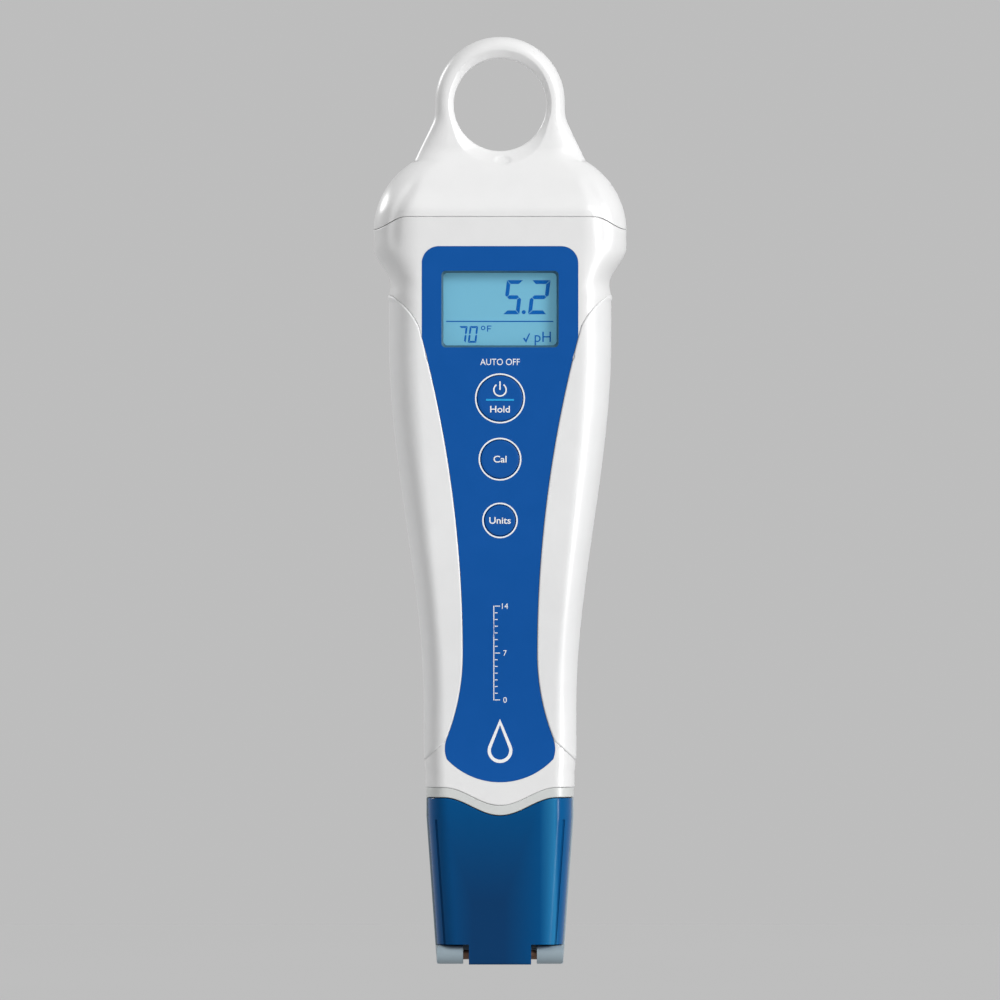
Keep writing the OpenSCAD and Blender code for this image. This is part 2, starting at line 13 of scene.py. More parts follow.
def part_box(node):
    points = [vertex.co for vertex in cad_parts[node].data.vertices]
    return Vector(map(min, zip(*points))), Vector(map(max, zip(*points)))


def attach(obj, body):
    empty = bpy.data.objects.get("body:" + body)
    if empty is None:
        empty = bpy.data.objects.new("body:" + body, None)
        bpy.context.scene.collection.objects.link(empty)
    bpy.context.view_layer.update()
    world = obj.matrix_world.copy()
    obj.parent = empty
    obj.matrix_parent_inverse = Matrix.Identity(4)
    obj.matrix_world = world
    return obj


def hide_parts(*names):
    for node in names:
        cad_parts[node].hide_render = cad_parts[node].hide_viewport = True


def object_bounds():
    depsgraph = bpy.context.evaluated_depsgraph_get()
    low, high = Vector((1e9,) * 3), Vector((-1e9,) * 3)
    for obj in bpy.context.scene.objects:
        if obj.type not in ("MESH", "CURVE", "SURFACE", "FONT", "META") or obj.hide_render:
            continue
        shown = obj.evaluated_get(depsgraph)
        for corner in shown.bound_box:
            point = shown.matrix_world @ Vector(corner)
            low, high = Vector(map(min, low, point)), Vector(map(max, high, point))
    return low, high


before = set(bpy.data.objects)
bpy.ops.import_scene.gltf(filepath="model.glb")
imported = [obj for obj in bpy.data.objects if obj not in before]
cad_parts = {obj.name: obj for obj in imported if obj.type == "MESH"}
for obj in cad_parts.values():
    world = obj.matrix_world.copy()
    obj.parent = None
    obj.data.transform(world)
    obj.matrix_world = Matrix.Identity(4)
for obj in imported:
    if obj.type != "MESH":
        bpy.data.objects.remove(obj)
CAD_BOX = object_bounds()
MM = 0.001


def node_box(name):
    """Lowest and highest corner of a CAD node, in millimetres."""
    low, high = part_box(name)
    return np.array(low) / MM, np.array(high) / MM


# ---- the pen's shape, as in the CAD
# A section gives its half width, front depth, rear depth and corner width at a level.
EAR_W = node_box("front_housing")[1][0]
HEAD_D = -node_box("hold_key")[0][1]
LOOP_Z, LOOP_R, HOLE_R, HOLE_Z = 163.7, 12.3, 8.8, 163.1
SEAM_Z, SEAM_DROP = 141.7, 2.3
SHOULDER_Z, SHOULDER_R = 139.0, 15.5
KINK_Z, NECK_Z, NECK_TOP, NECK_SLOPE = 152.3, 160.6, 163.0, 0.245
WAVE_HI, WAVE_LO, WAVE_W = 33.6, 30.2, 10.8
HEAD_LOW, WAIST_HI, WAIST_LO, BODY_LOW = 136, 129, 126, 37.2  # levels where the body's width changes its law
HEAD_TOP, CAP_TOP = 142.5, 155  # the depth falls between these levels, to TOP_D
WAIST_W, TOP_D, LOW_D, LOW_W = 20.75, 3.7, 8.7, 14.15
FRONT_FULL, REAR_FULL = 80, 116  # levels where the front's and the rear's depth are full
LOW_CORNER = 3.9
SEAM_FROM, SEAM_RUN = 18, 6
VALLEY_IN, VALLEY_DEEP = 3.9, 0.5  # the ear's valley: distance in from the edge, and depth
GRIP_PROUD = 0.2
FOOT_W, FOOT_D, FOOT_GROW_W, FOOT_GROW_D = 11.7, 7.3, 0.07, 0.042
COLLAR_W, COLLAR_D = 14.0, 8.55
CUT, WIDE = 20, 30  # reach of a cutter that goes right through, in y and in x
SIDE_SHARE = 0.2  # share of the depth that the flat side takes up; the corner takes the rest
U_MID, U_MAX = 2.5, 5  # a section's u in the middle of the side and in the rear's middle


def smooth(t):
    u = np.clip(t, 0.0, 1.0)
    return u * u * (3 - 2 * u)


def between(z, z0, z1, a, b):
    return a + (b - a) * smooth((z - z0) / (z1 - z0))


def half_w(z):
    neck = LOOP_R - 0.05 + NECK_SLOPE * (NECK_Z - z + np.hypot(NECK_Z - z, 1))
    shoulder = EAR_W - SHOULDER_R + np.sqrt(np.maximum(SHOULDER_R**2 - (z - SHOULDER_Z) ** 2, 0))
    return np.select(
        [z > NECK_TOP, z > KINK_Z, z > SHOULDER_Z, z > WAIST_HI, z > WAIST_LO, z > BODY_LOW],
        [
            LOOP_R + 0 * z,
            neck,
            shoulder,
            between(z, WAIST_HI, HEAD_LOW, WAIST_W, EAR_W),
            between(z, WAIST_LO, WAIST_HI, 21.1, WAIST_W),
            between(z, 49, 118, 14.3, 20.9),
        ],
        LOW_W,
    )


def corner_w(z):
    low = np.maximum(between(z, 62, 113, LOW_CORNER, 5.6), np.where(z > 113, half_w(z) - 15.4, 0))
    return np.select(
        [z > KINK_Z, z > SHOULDER_Z],
        [between(z, KINK_Z, NECK_TOP, 6, 2.2), between(z, SHOULDER_Z, KINK_Z, 8.6, 6)],
        low,
    )


def top_depth(z):
    return between(z, HEAD_TOP, CAP_TOP, HEAD_D, TOP_D)


def body_depth(z, full_z):
    """Half depth of the body, which grows up to the level full_z and falls again over the head."""
    return np.where(z > HEAD_TOP, top_depth(z), between(z, BODY_LOW, full_z, LOW_D, HEAD_D))


def front_surface(z):
    return -body_depth(z, FRONT_FULL)


def rear_surface(z):
    return body_depth(z, REAR_FULL)


def body_section(z):
    return half_w(z), -front_surface(z), rear_surface(z), corner_w(z)


def foot_section(z):
    up = np.clip(z, -4, 28)
    depth = FOOT_D + FOOT_GROW_D * up
    return FOOT_W + FOOT_GROW_W * up, depth, depth, LOW_CORNER + 0 * up


def collar_section(z):
    flat = 0 * z
    return COLLAR_W + flat, COLLAR_D + flat, COLLAR_D + flat, LOW_CORNER + flat


def on_section(section, z, u, side, lift):
    """Points on a section. u runs 0..5 from the front's middle to the rear's, over front, corner, side,
    corner and rear. side is +1 or -1, and lift is how far the point stands off the surface."""
    z, u, side, lift = np.broadcast_arrays(*(np.asarray(v, float) for v in (z, u, side, lift)))
    w, f, r, c = section(z)
    front = u < U_MID
    a = np.radians(np.where(front, (u - 2) * 90, (u - 3) * 90))
    a = np.where(front, np.clip(a, -np.pi / 2, 0), np.clip(a, 0, np.pi / 2))
    d = np.where(front, f, r)
    seg = np.select([u < 1, u <= 2, u < 3, u <= 4], [0, 1, 2, 3], 4)
    along = np.where(front, -SIDE_SHARE * f * (1 - 2 * (u - 2)), SIDE_SHARE * r * 2 * (u - U_MID))
    y0 = np.where(front, -SIDE_SHARE * f, SIDE_SHARE * r)
    curve = (1 - SIDE_SHARE) * d
    flats = [seg == 0, seg == 2, seg == 4]
    x = np.select(flats, [u * (w - c), w, (U_MAX - u) * (w - c)], w - c + c * np.cos(a))
    y = np.select(flats, [-f, along, r], y0 + curve * np.sin(a))
    nx = np.select(flats, [0 * w, 1 + 0 * w, 0 * w], np.cos(a) / c)
    ny = np.select(flats, [-1 + 0 * w, 0 * w, 1 + 0 * w], np.sin(a) / curve)
    size = np.hypot(nx, ny)
    return np.stack([side * (x + lift * nx / size), y + lift * ny / size, z], -1)


def u_at_x(section, z, x):
    """u on the front half where the section's half width is x."""
    w, _, _, c = section(z)
    share = np.clip((x - w + c) / c, 0, 1)
    return np.where(x <= w - c, np.clip(x / (w - c), 0, 1), 2 - np.degrees(np.arccos(share)) / 90)


def u_at_y(section, z, y):
    """u on the front half of the side where the section is y in front of the middle plane."""
    _, f, _, _ = section(z)
    flat = SIDE_SHARE * f
    past = np.clip((y - flat) / ((1 - SIDE_SHARE) * f), 0, 1)
    return np.where(y > flat, 2 - np.degrees(np.arcsin(past)) / 90, 2 + 0.5 * (1 - y / flat))


def wave(x, lift=0.0):
    u = np.minimum(np.abs(x) / WAVE_W, 1)
    return WAVE_LO + lift + (WAVE_HI - WAVE_LO) * (1 - np.cos(np.pi * u)) / 2


def seam(x):
    return SEAM_Z - SEAM_DROP * smooth((np.abs(x) - SEAM_FROM) / SEAM_RUN)


def ear_step(x, z):
    """Depth of the soft valley that runs inside the edge of each ear."""
    inset = SHOULDER_R - np.hypot(np.abs(x) - EAR_W + SHOULDER_R, np.maximum(z - SHOULDER_Z, 0))
    fade = smooth((z - 135.2) / 2.4) * smooth((KINK_Z - z) / 3.5) * smooth((np.abs(x) - 14.8) / 2.5)
    return VALLEY_DEEP * fade * np.exp(-((inset - VALLEY_IN) ** 2))


def rounding(d, r):
    """How far an edge rounded with radius r falls at a distance d from it."""
    u = np.clip(d / r, 0, 1)
    return r * (1 - np.sqrt(1 - (1 - u) ** 2))


# ---- mesh making
WELD, SLIVER = 2e-6, 1e-6  # metres under which points are joined, and edges dissolved
CREASE = 35  # degrees over which an edge stays crisp


def new_object(name, data):
    obj = bpy.data.objects.new(name, data)
    bpy.context.scene.collection.objects.link(obj)
    return obj


@contextmanager
def edited(mesh):
    """The mesh as a bmesh, written back at the end."""
    bm = bmesh.new()
    bm.from_mesh(mesh)
    yield bm
    bm.to_mesh(mesh)
    bm.free()


def smooth_mesh(mesh, sharp):
    mesh.polygons.foreach_set("use_smooth", [True] * len(mesh.polygons))
    mesh.set_sharp_from_angle(angle=math.radians(sharp))


def solid(name, verts, faces, sharp=CREASE):
    """A closed object from points in millimetres, with its faces turned outwards."""
    mesh = bpy.data.meshes.new(name)
    mesh.from_pydata([tuple(v) for v in np.asarray(verts, float) * MM], [], faces)
    with edited(mesh) as bm:
        bmesh.ops.remove_doubles(bm, verts=bm.verts, dist=WELD)
        bmesh.ops.dissolve_degenerate(bm, edges=bm.edges, dist=SLIVER)
        bmesh.ops.recalc_face_normals(bm, faces=bm.faces)
    smooth_mesh(mesh, sharp)
    return new_object(name, mesh)


def evaluated_mesh(obj):
    graph = bpy.context.evaluated_depsgraph_get()
    return bpy.data.meshes.new_from_object(obj.evaluated_get(graph))


def moved(obj, *steps):
    """Changes the object's mesh by some matrices, one after the other."""
    for step in steps:
        obj.data.transform(step)
    return obj


def turn(degrees, axis):
    return Matrix.Rotation(math.radians(degrees), 4, axis)


def shift(x, y, z):
    return Matrix.Translation((x * MM, y * MM, z * MM))


def grid_faces(rows, cols, start=0, wrap=False):
    """Faces of a grid of points, row after row from `start`; wrap joins the last column to the first."""
    faces = []
    for i in range(rows - 1):
        for j in range(cols if wrap else cols - 1):
            a, b = start + i * cols + j, start + i * cols + (j + 1) % cols
            faces.append((a, b, b + cols, a + cols))
    return faces


def strip_faces(first, second, wrap=False):
    n = len(first)
    pairs = [(k, (k + 1) % n) for k in range(n if wrap else n - 1)]
    return [(first[k], first[m], second[m], second[k]) for k, m in pairs]


def between_grids(outer, inner, wrap=False):
    """Closed solid between two grids of points with the same rows and columns."""
    rows, cols = outer.shape[:2]
    n = rows * cols
    verts = np.concatenate([outer.reshape(-1, 3), inner.reshape(-1, 3)])
    index = np.arange(n).reshape(rows, cols)
    faces = grid_faces(rows, cols, 0, wrap) + grid_faces(rows, cols, n, wrap)
    for line in (index[0], index[-1]):
        faces += strip_faces(list(line), list(line + n), wrap)
    if not wrap:
        for line in (index[:, 0], index[:, -1]):
            faces += strip_faces(list(line), list(line + n))
    return verts, faces


def stacked(name, rings):
    """Closed solid from rings of points, one above the other."""
    rows, n = rings.shape[:2]
    ends = [tuple(range(n)), tuple(range((rows - 1) * n, rows * n))]
    return solid(name, rings.reshape(-1, 3), grid_faces(rows, n, 0, True) + ends)


def shell(name, section, grid, outer_lift, inner_lift, sharp=40, wrap=False):
    """Closed solid between two lifts off a section, over a grid of levels, u and side."""
    outer, inner = (on_section(section, *grid, lift) for lift in (outer_lift, inner_lift))
    return solid(name, *between_grids(outer, inner, wrap), sharp)


def ring_columns(u):
    """The columns of a whole ring from those of its right half."""
    u = np.asarray(u, float)
    side = np.concatenate([np.ones(len(u)), -np.ones(len(u) - 2)])
    return np.concatenate([u, u[-2:0:-1]])[None], side[None]


def block_through(name, section, levels, lift, u):
    """Closed solid that fills a section over some levels."""
    z = np.asarray(levels, float)[:, None]
    return stacked(name, on_section(section, z, *ring_columns(u), lift))


def revolve(name, profile, axis=(0, 0), steps=96, closed=False):
    """Solid from a profile of (radius, height) turned about a vertical axis, or a ring where it is closed."""
    verts, n = [], len(profile)
    for k in range(steps):
        a = 2 * math.pi * k / steps
        verts += [(axis[0] + r * math.cos(a), axis[1] + r * math.sin(a), z) for r, z in profile]
    faces = []
    for k in range(steps):
        for j in range(n if closed else n - 1):
            a, b = k * n + j, k * n + (j + 1) % n
            c, d = ((k + 1) % steps) * n + (j + 1) % n, ((k + 1) % steps) * n + j
            faces.append((a, b, c, d))
    return solid(name, verts, faces)


def rod_cutter(r, low, high, steps=96):
    """Upright cylinder on the Z axis between two levels."""
    return revolve("cutter", [(0, low), (r, low), (r, high), (0, high)], steps=steps)


def box_cutter(low, high):
    x, y, z = zip(low, high)
    verts = [(x[i], y[j], z[k]) for i in (0, 1) for j in (0, 1) for k in (0, 1)]
    faces = [(0, 1, 3, 2), (4, 6, 7, 5), (0, 4, 5, 1), (2, 3, 7, 6), (0, 2, 6, 4), (1, 5, 7, 3)]
    return solid("cutter", verts, faces)


def prism(loop, y0, y1, name="cutter"):
    """Closed solid from an outline in x and z run from y0 to y1."""
    n = len(loop)
    verts = [(x, y0, z) for x, z in loop] + [(x, y1, z) for x, z in loop]
    near_side, far_side = tuple(range(n)), tuple(range(n, 2 * n))
    return solid(name, verts, [near_side, far_side] + strip_faces(near_side, far_side, True))


def combine(obj, cutters, operation="DIFFERENCE", sharp=CREASE):
    """Cuts, joins or intersects obj with each cutter, which is then removed."""
    for cutter in cutters:
        mod = obj.modifiers.new("cut", "BOOLEAN")
        mod.operation, mod.solver, mod.object = operation, "EXACT", cutter
        made = evaluated_mesh(obj)
        obj.modifiers.clear()
        obj.data = made
        bpy.data.objects.remove(cutter)
    with edited(obj.data) as bm:
        bmesh.ops.dissolve_degenerate(bm, edges=bm.edges, dist=SLIVER)
    smooth_mesh(obj.data, sharp)
    return obj


def circle_loop(x, z, r, n=96, a0=0.0, a1=360.0):
    angles = np.radians(np.linspace(a0, a1, n, endpoint=a1 - a0 < 360))
    return [(x + r * math.cos(a), z + r * math.sin(a)) for a in angles]


def rect_loop(x0, x1, z0, z1, r=0.0, n=6):
    if r == 0:
        return [(x0, z0), (x1, z0), (x1, z1), (x0, z1)]
    right, left, low, high = x1 - r, x0 + r, z0 + r, z1 - r
    loop = []
    for x, z, a in ((right, low, -90), (right, high, 0), (left, high, 90), (left, low, 180)):
        loop += circle_loop(x, z, r, n, a, a + 90)
    return loop


def centred_rect(z, width, height, r=0.0, n=6):
    return rect_loop(-width / 2, width / 2, z - height / 2, z + height / 2, r, n)


def inside(px, pz, loop):
    """Even-odd test of points against one loop."""
    x, z = np.array(loop).T
    x2, z2 = np.roll(x, -1), np.roll(z, -1)
    hit = (z[None] > pz[:, None]) != (z2[None] > pz[:, None])
    with np.errstate(divide="ignore", invalid="ignore"):
        cross = (x2 - x)[None] * (pz[:, None] - z[None]) / (z2 - z)[None] + x[None]
    return (np.sum(hit & (px[:, None] < cross), axis=1) % 2) == 1


def flat_piece(name, loops, face_y, proud, sunk, extra=()):
    """A thin closed plate from loops in x and z (even-odd), laid on the surface y = face_y(z)."""
    points, edges = [], []
    for loop in loops:
        start, n = len(points), len(loop)
        points += [Vector(p) for p in loop]
        edges += [(start + k, start + (k + 1) % n) for k in range(n)]
    points += [Vector(p) for p in extra]
    co, _, tris, *_ = delaunay_2d_cdt(points, edges, [], 0, 1e-5)
    co = np.array([tuple(p) for p in co])
    tris = np.array(tris)
    mid = co[tris].mean(1)
    count = sum(inside(mid[:, 0], mid[:, 1], loop).astype(int) for loop in loops)
    tris = tris[count % 2 == 1]
    used = np.unique(tris)
    renumber = {int(v): k for k, v in enumerate(used)}
    tris = [tuple(renumber[int(v)] for v in t) for t in tris]
    x, z = co[used].T
    y = face_y(z)
    n = len(used)
    verts = np.concatenate([np.stack([x, y - proud, z], 1), np.stack([x, y + sunk, z], 1)])
    seen = {}
    for t in tris:
        for k in range(3):
            e = tuple(sorted((t[k], t[(k + 1) % 3])))
            seen[e] = seen.get(e, 0) + 1
    faces = list(tris) + [tuple(v + n for v in t[::-1]) for t in tris]
    faces += [(a, b, b + n, a + n) for (a, b), c in seen.items() if c == 1]
    return solid(name, verts, faces)


# ---- materials
MAT = {}
LABEL_BLUE = (0.003, 0.088, 0.358)
GRAIN_HEIGHT = 0.0002  # metres


def feed(tree, value, socket):
    """Links a value that comes from a node, and sets a colour."""
    if isinstance(value, bpy.types.NodeSocket):
        tree.links.new(value, socket)
    else:
        socket.default_value = (*value, 1)


def object_coords(tree):
    return tree.nodes.new("ShaderNodeTexCoord").outputs["Object"]


def add_node(tree, kind, **values):
    """A new shader node, with some of its inputs set; _ stands for a space in an input's name."""
    node = tree.nodes.new("ShaderNode" + kind)
    for socket, value in values.items():
        node.inputs[socket.replace("_", " ")].default_value = value
    return node


def noise(tree, scale, detail):
    node = add_node(tree, "TexNoise", Scale=scale, Detail=detail)
    tree.links.new(object_coords(tree), node.inputs["Vector"])
    return node.outputs["Fac"]


def map_range(tree, source, low, high, from_low=0.2, from_high=0.8):
    node = add_node(tree, "MapRange", From_Min=from_low, From_Max=from_high, To_Min=low, To_Max=high)
    tree.links.new(source, node.inputs["Value"])
    return node.outputs["Result"]


def mix_colours(tree, factor, first, second):
    node = add_node(tree, "Mix")
    node.data_type = "RGBA"
    tree.links.new(factor, node.inputs["Factor"])
    feed(tree, first, node.inputs[6])
    feed(tree, second, node.inputs[7])
    return node.outputs[2]


def material(name, base, rough, grain=2500.0, bump=0.03, mottle=0.03, patch=220.0, spread=0.05, **sockets):
    """Adds a Principled material with a fine grain and slightly uneven gloss and colour, all procedural."""
    mat = bpy.data.materials.new(name)
    mat.use_nodes = True
    tree = mat.node_tree
    shader = tree.nodes["Principled BSDF"]
    for socket, value in sockets.items():
        shader.inputs[socket.replace("_", " ")].default_value = value
    lift = add_node(tree, "Bump", Strength=bump, Distance=GRAIN_HEIGHT)
    tree.links.new(noise(tree, grain, 3.0), lift.inputs["Height"])
    tree.links.new(lift.outputs["Normal"], shader.inputs["Normal"])
    broad = noise(tree, patch, 2.0)
    gloss = map_range(tree, broad, rough - spread, rough + spread)
    tree.links.new(gloss, shader.inputs["Roughness"])
    tone = map_range(tree, broad, 0.0, 1.0)
    dark, light = (tuple(min(1, c * k) for c in base) for k in (1 - mottle, 1 + mottle))
    tree.links.new(mix_colours(tree, tone, dark, light), shader.inputs["Base Color"])
    MAT[name] = mat
    return mat


material("white_shell", (0.81, 0.81, 0.81), 0.34, bump=0.02, mottle=0.012, IOR=1.5)
material("white_cap", (0.84, 0.84, 0.84), 0.32, bump=0.02, mottle=0.012, IOR=1.5)
material("grip_white", (0.815, 0.817, 0.819), 0.4, grain=4200, bump=0.05, mottle=0.012)
material("collar_grey", (0.63, 0.645, 0.635), 0.4, mottle=0.02)
material("label_blue", LABEL_BLUE, 0.45, grain=5200, bump=0.05, mottle=0.02, Specular_IOR_Level=0.09)
material("key_blue", LABEL_BLUE, 0.42, grain=5200, bump=0.05, mottle=0.02, Specular_IOR_Level=0.12)
material("bezel_blue", (0.045, 0.12, 0.18), 0.35, mottle=0.02)
material("print_grey", (0.30, 0.31, 0.32), 0.5, mottle=0.02)
material("print_white", (0.9, 0.91, 0.92), 0.45, mottle=0.01)
material("print_cyan", (0.0, 0.36, 0.75), 0.4, mottle=0.01)
material("clear_window", (0.02, 0.03, 0.035), 0.05, bump=0.0, mottle=0.01, spread=0.01, Alpha=0.06)
INK_GLOW = {"Emission_Color": (0.0, 0.1, 0.42, 1.0), "Emission_Strength": 0.2}
material("lcd_ink", (0.0, 0.125, 0.47), 0.5, mottle=0.01, Specular_IOR_Level=0.1, **INK_GLOW)
CELL_GLOW = {"Emission_Color": (0.16, 0.45, 0.62, 1.0), "Emission_Strength": 0.33}
LCD_LOOK = {"grain": 6000, "bump": 0.02, "mottle": 0.03, "patch": 60, "Specular_IOR_Level": 0.2}
material("lcd", (0.17, 0.46, 0.62), 0.4, **LCD_LOOK, **CELL_GLOW)
material("diffuser", (0.8, 0.85, 0.85), 0.5)
material("dark_plastic", (0.03, 0.03, 0.034), 0.42, grain=3000, bump=0.08, mottle=0.15)
material("inner_plastic", (0.62, 0.62, 0.6), 0.5, bump=0.05, mottle=0.03)
material("seal_rubber", (0.016, 0.016, 0.016), 0.6, grain=3500, bump=0.12, mottle=0.25)
material("steel", (0.56, 0.56, 0.56), 0.28, grain=3000, bump=0.03, mottle=0.05, Metallic=1.0)
material("silver", (0.8, 0.79, 0.76), 0.2, mottle=0.04, Metallic=1.0)
material("contact_brass", (0.72, 0.52, 0.2), 0.3, mottle=0.08, Metallic=1.0)
GLASS_LOOK = {"bump": 0.0, "mottle": 0.01, "spread": 0.01, "IOR": 1.47, "Transmission_Weight": 0.95}
material("probe_glass", (0.93, 0.97, 0.98), 0.03, **GLASS_LOOK)
material("junction_white", (0.8, 0.78, 0.72), 0.8, grain=6000, bump=0.3, mottle=0.06)
material("wire_red", (0.42, 0.02, 0.02), 0.45)
material("clip_frosted", (0.275, 0.345, 0.39), 0.38, grain=3000, bump=0.05, mottle=0.03, IOR=1.49)
material("pin_bronze", (0.17, 0.09, 0.055), 0.4, grain=2600, bump=0.05, mottle=0.1, Metallic=0.5)
material("sponge", (0.72, 0.64, 0.4), 0.9, grain=1800, bump=1.0, mottle=0.12, patch=900)


def repaint(mat, paint):
    """Passes the material's own colour through paint, which is given the tree and that colour."""
    tree = mat.node_tree
    base = tree.nodes["Principled BSDF"].inputs["Base Color"]
    tree.links.new(paint(tree, base.links[0].from_socket), base)


def split_coords(tree):
    split = add_node(tree, "SeparateXYZ")
    tree.links.new(object_coords(tree), split.inputs["Vector"])
    return split.outputs


def copper_traces(tree, own):
    brick = add_node(tree, "TexBrick", Scale=420, Mortar_Size=0.04)
    upright = add_node(tree, "Mapping", Rotation=(math.pi / 2, 0, 0))
    tree.links.new(object_coords(tree), upright.inputs["Vector"])
    tree.links.new(upright.outputs["Vector"], brick.inputs["Vector"])
    return mix_colours(tree, brick.outputs["Fac"], own, (0.03, 0.25, 0.1))


def dark_sleeve(tree, own):
    """Printed battery sleeve: dark below, its own gold above."""
    low, high = node_box("battery_cell")
    edge = (low[2] + 0.72 * (high[2] - low[2])) * MM
    band = map_range(tree, split_coords(tree)["Z"], 0.0, 1.0, edge - 0.0001, edge + 0.0001)
    return mix_colours(tree, band, (0.02, 0.02, 0.022), own)


def translucent_depth(tree, own):
    """Storage cap colour, darker over the soaking cup and lighter towards the sides and top: partly the
    see-through wall over the dark probe, partly painted shade, as the dark zone sits 2.2 mm left of the
    middle, away from the key lamp. A painted highlight runs down the right front corner.
    """
    coords = split_coords(tree)
    painted_shade_shift, away, either = (add_node(tree, "Math") for _ in range(3))
    painted_shade_shift.operation, away.operation, either.operation = "ADD", "ABSOLUTE", "MAXIMUM"
    # painted shade: the darkest place is moved 2.2 mm to the left, the side away from the key lamp
    painted_shade_shift.inputs[1].default_value = 0.0022
    tree.links.new(coords["X"], painted_shade_shift.inputs[0])
    tree.links.new(painted_shade_shift.outputs[0], away.inputs[0])
    tree.links.new(map_range(tree, away.outputs[0], 0.0, 1.0, 0.003, 0.0125), either.inputs[0])
    tree.links.new(map_range(tree, coords["Z"], 0.0, 0.75, 0.012, 0.032), either.inputs[1])
    depth_and_painted_shade = mix_colours(tree, either.outputs[0], (0.004, 0.043, 0.138), own)
    # painted highlight: a light band down the right front corner only, brightest near x = 10.4 mm
    corner = add_node(tree, "ValToRGB")
    tree.links.new(map_range(tree, coords["X"], 0.0, 1.0, 0.007, 0.012), corner.inputs["Fac"])
    ramp = corner.color_ramp.elements
    ramp[0].position, ramp[0].color = 0.1, (0, 0, 0, 1)
    ramp[1].position, ramp[1].color = 0.68, (1, 1, 1, 1)
    ramp.new(0.82).color = (0.1, 0.1, 0.1, 1)
    return mix_colours(tree, corner.outputs["Color"], depth_and_painted_shade, (0.02, 0.19, 0.40))


repaint(material("board_green", (0.015, 0.14, 0.06), 0.35, mottle=0.1), copper_traces)
repaint(material("cell_wrap", (0.42, 0.28, 0.06), 0.25, mottle=0.04, Metallic=0.6), dark_sleeve)
CAP_LOOK = {"bump": 0.015, "mottle": 0.02, "IOR": 1.49, "Specular_IOR_Level": 0.06}
# the storage cap's blue carries painted shade and a painted highlight
repaint(material("cap_blue", (0.0, 0.084, 0.262), 0.19, **CAP_LOOK), translucent_depth)


def dress(obj, finish):
    obj.data.materials.clear()
    obj.data.materials.append(MAT[finish])


def place(obj, body, slot, finish=None, stands_for=()):
    """Gives a piece its material, named by finish or else by slot, puts it on its body and hides the CAD
    nodes that it stands for.
    """
    dress(obj, finish or slot)
    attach(obj, body)
    if stands_for:
        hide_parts(*stands_for)
    return obj


# ---- grips
ARC_HI = (241.4, 59.0, 234.4)  # label's long side arc: centre x, z, radius
ARC_LO = (51.0, 59.0, 44.0)  # short arc below it
CROWN = (28.0, 115.0, 14.0)  # grip's rounded top
SLOPE = ((14.5, 38.5), (10.2, 42.4))  # grip's lower edge
FAR = 99  # more than any distance on the pen's front
GRIP_SEARCH = np.linspace(38, 41, 3001), np.linspace(129, 124, 5001)


def arc_x(z, arc, gap):
    x0, z0, r = arc
    return x0 - np.sqrt(np.maximum((r - gap) ** 2 - (z - z0) ** 2, 0))


def arc_distance(x, z, arc):
    x0, z0, r = arc
    return r - np.hypot(x - x0, z - z0)


def grip_edge(z, gap):
    """x of the grip's inner edge at level z, with a gap inside its outline."""
    z = np.asarray(z, float)
    x = np.where(z > ARC_HI[1], arc_x(z, ARC_HI, gap), arc_x(z, ARC_LO, gap))
    crown = np.where(z > CROWN[1], arc_x(z, CROWN, gap), 0)
    (x0, z0), (x1, z1) = SLOPE
    slope = np.where(z < z1 + gap, x0 + (z - z0 - gap) * (x1 - x0) / (z1 - z0), 0)
    return np.maximum(np.maximum(x, crown), slope)


def grip_distance(x, z, gap):
    """Distance in the front view from the grip's outline."""
    arc = np.where(z > ARC_HI[1], arc_distance(x, z, ARC_HI), arc_distance(x, z, ARC_LO))
    crown = np.where(z > CROWN[1], arc_distance(x, z, CROWN), FAR)
    (x0, z0), (x1, z1) = SLOPE
    length = math.hypot(x1 - x0, z1 - z0)
    slope = ((x - x0) * (z1 - z0) - (z - z0) * (x1 - x0)) / length
    return np.minimum(np.minimum(arc, crown), np.minimum(slope, z - z0 + 0.3)) - gap


def grip_levels(gap):
    """Levels from the grip's lowest to its highest, where its edge meets the side, dense near both."""
    low, high = (z[np.argmax(grip_edge(z, gap) < half_w(z) - 0.03)] for z in GRIP_SEARCH)
    near = np.array([0, 0.06, 0.14, 0.26, 0.45, 0.75, 1.2, 1.8, 2.6])
    return np.concatenate([low + near, np.linspace(low + 3.5, high - 3.5, 88), (high - near)[::-1]])


def grip_solid(name, side, gap, top, bottom, soft):
    """The grip's volume between two lifts off the housing's surface, with its outer edges rounded by soft."""
    z = grip_levels(gap)[:, None]
    w = half_w(z)
    edge = np.minimum(grip_edge(z, gap), w - 0.015)
    near = np.array([0, 0.05, 0.11, 0.18, 0.27, 0.4, 0.65, 1.1])[None] * np.minimum(1, (w - edge) / 2.2)
    first = u_at_x(body_section, z, edge + near)
    start = first[:, -1:]
    middle = start + (U_MAX - 2 * start) * np.linspace(0, 1, 74)[None, 1:-1]
    u = np.concatenate([first, middle, U_MAX - first[:, ::-1]], 1)
    flat = on_section(body_section, z, u, 1, 0)
    lift = top - (rounding(grip_distance(np.abs(flat[..., 0]), flat[..., 2], gap), soft) if soft else 0)
    return shell(name, body_section, (z, u, side), lift, bottom, sharp=50)


for side, name in ((-1, "side_grip_left"), (1, "side_grip_right")):
    grip = grip_solid(f"{name}_skin", side, gap=0.06, top=GRIP_PROUD, bottom=-0.7, soft=0.3)
    place(grip, "main", "grip_white", stands_for=[name])


# ---- label
LABEL_W, LABEL_TOP, LABEL_JOIN = 14.8, 136.1, 119.5
LABEL_FOOT_Z, LABEL_FOOT_R, LABEL_CORNER_R = 34.6, 13.8, 3.2
TIP_SOFT = 2.0  # reach of the curve that joins the label's side to its foot


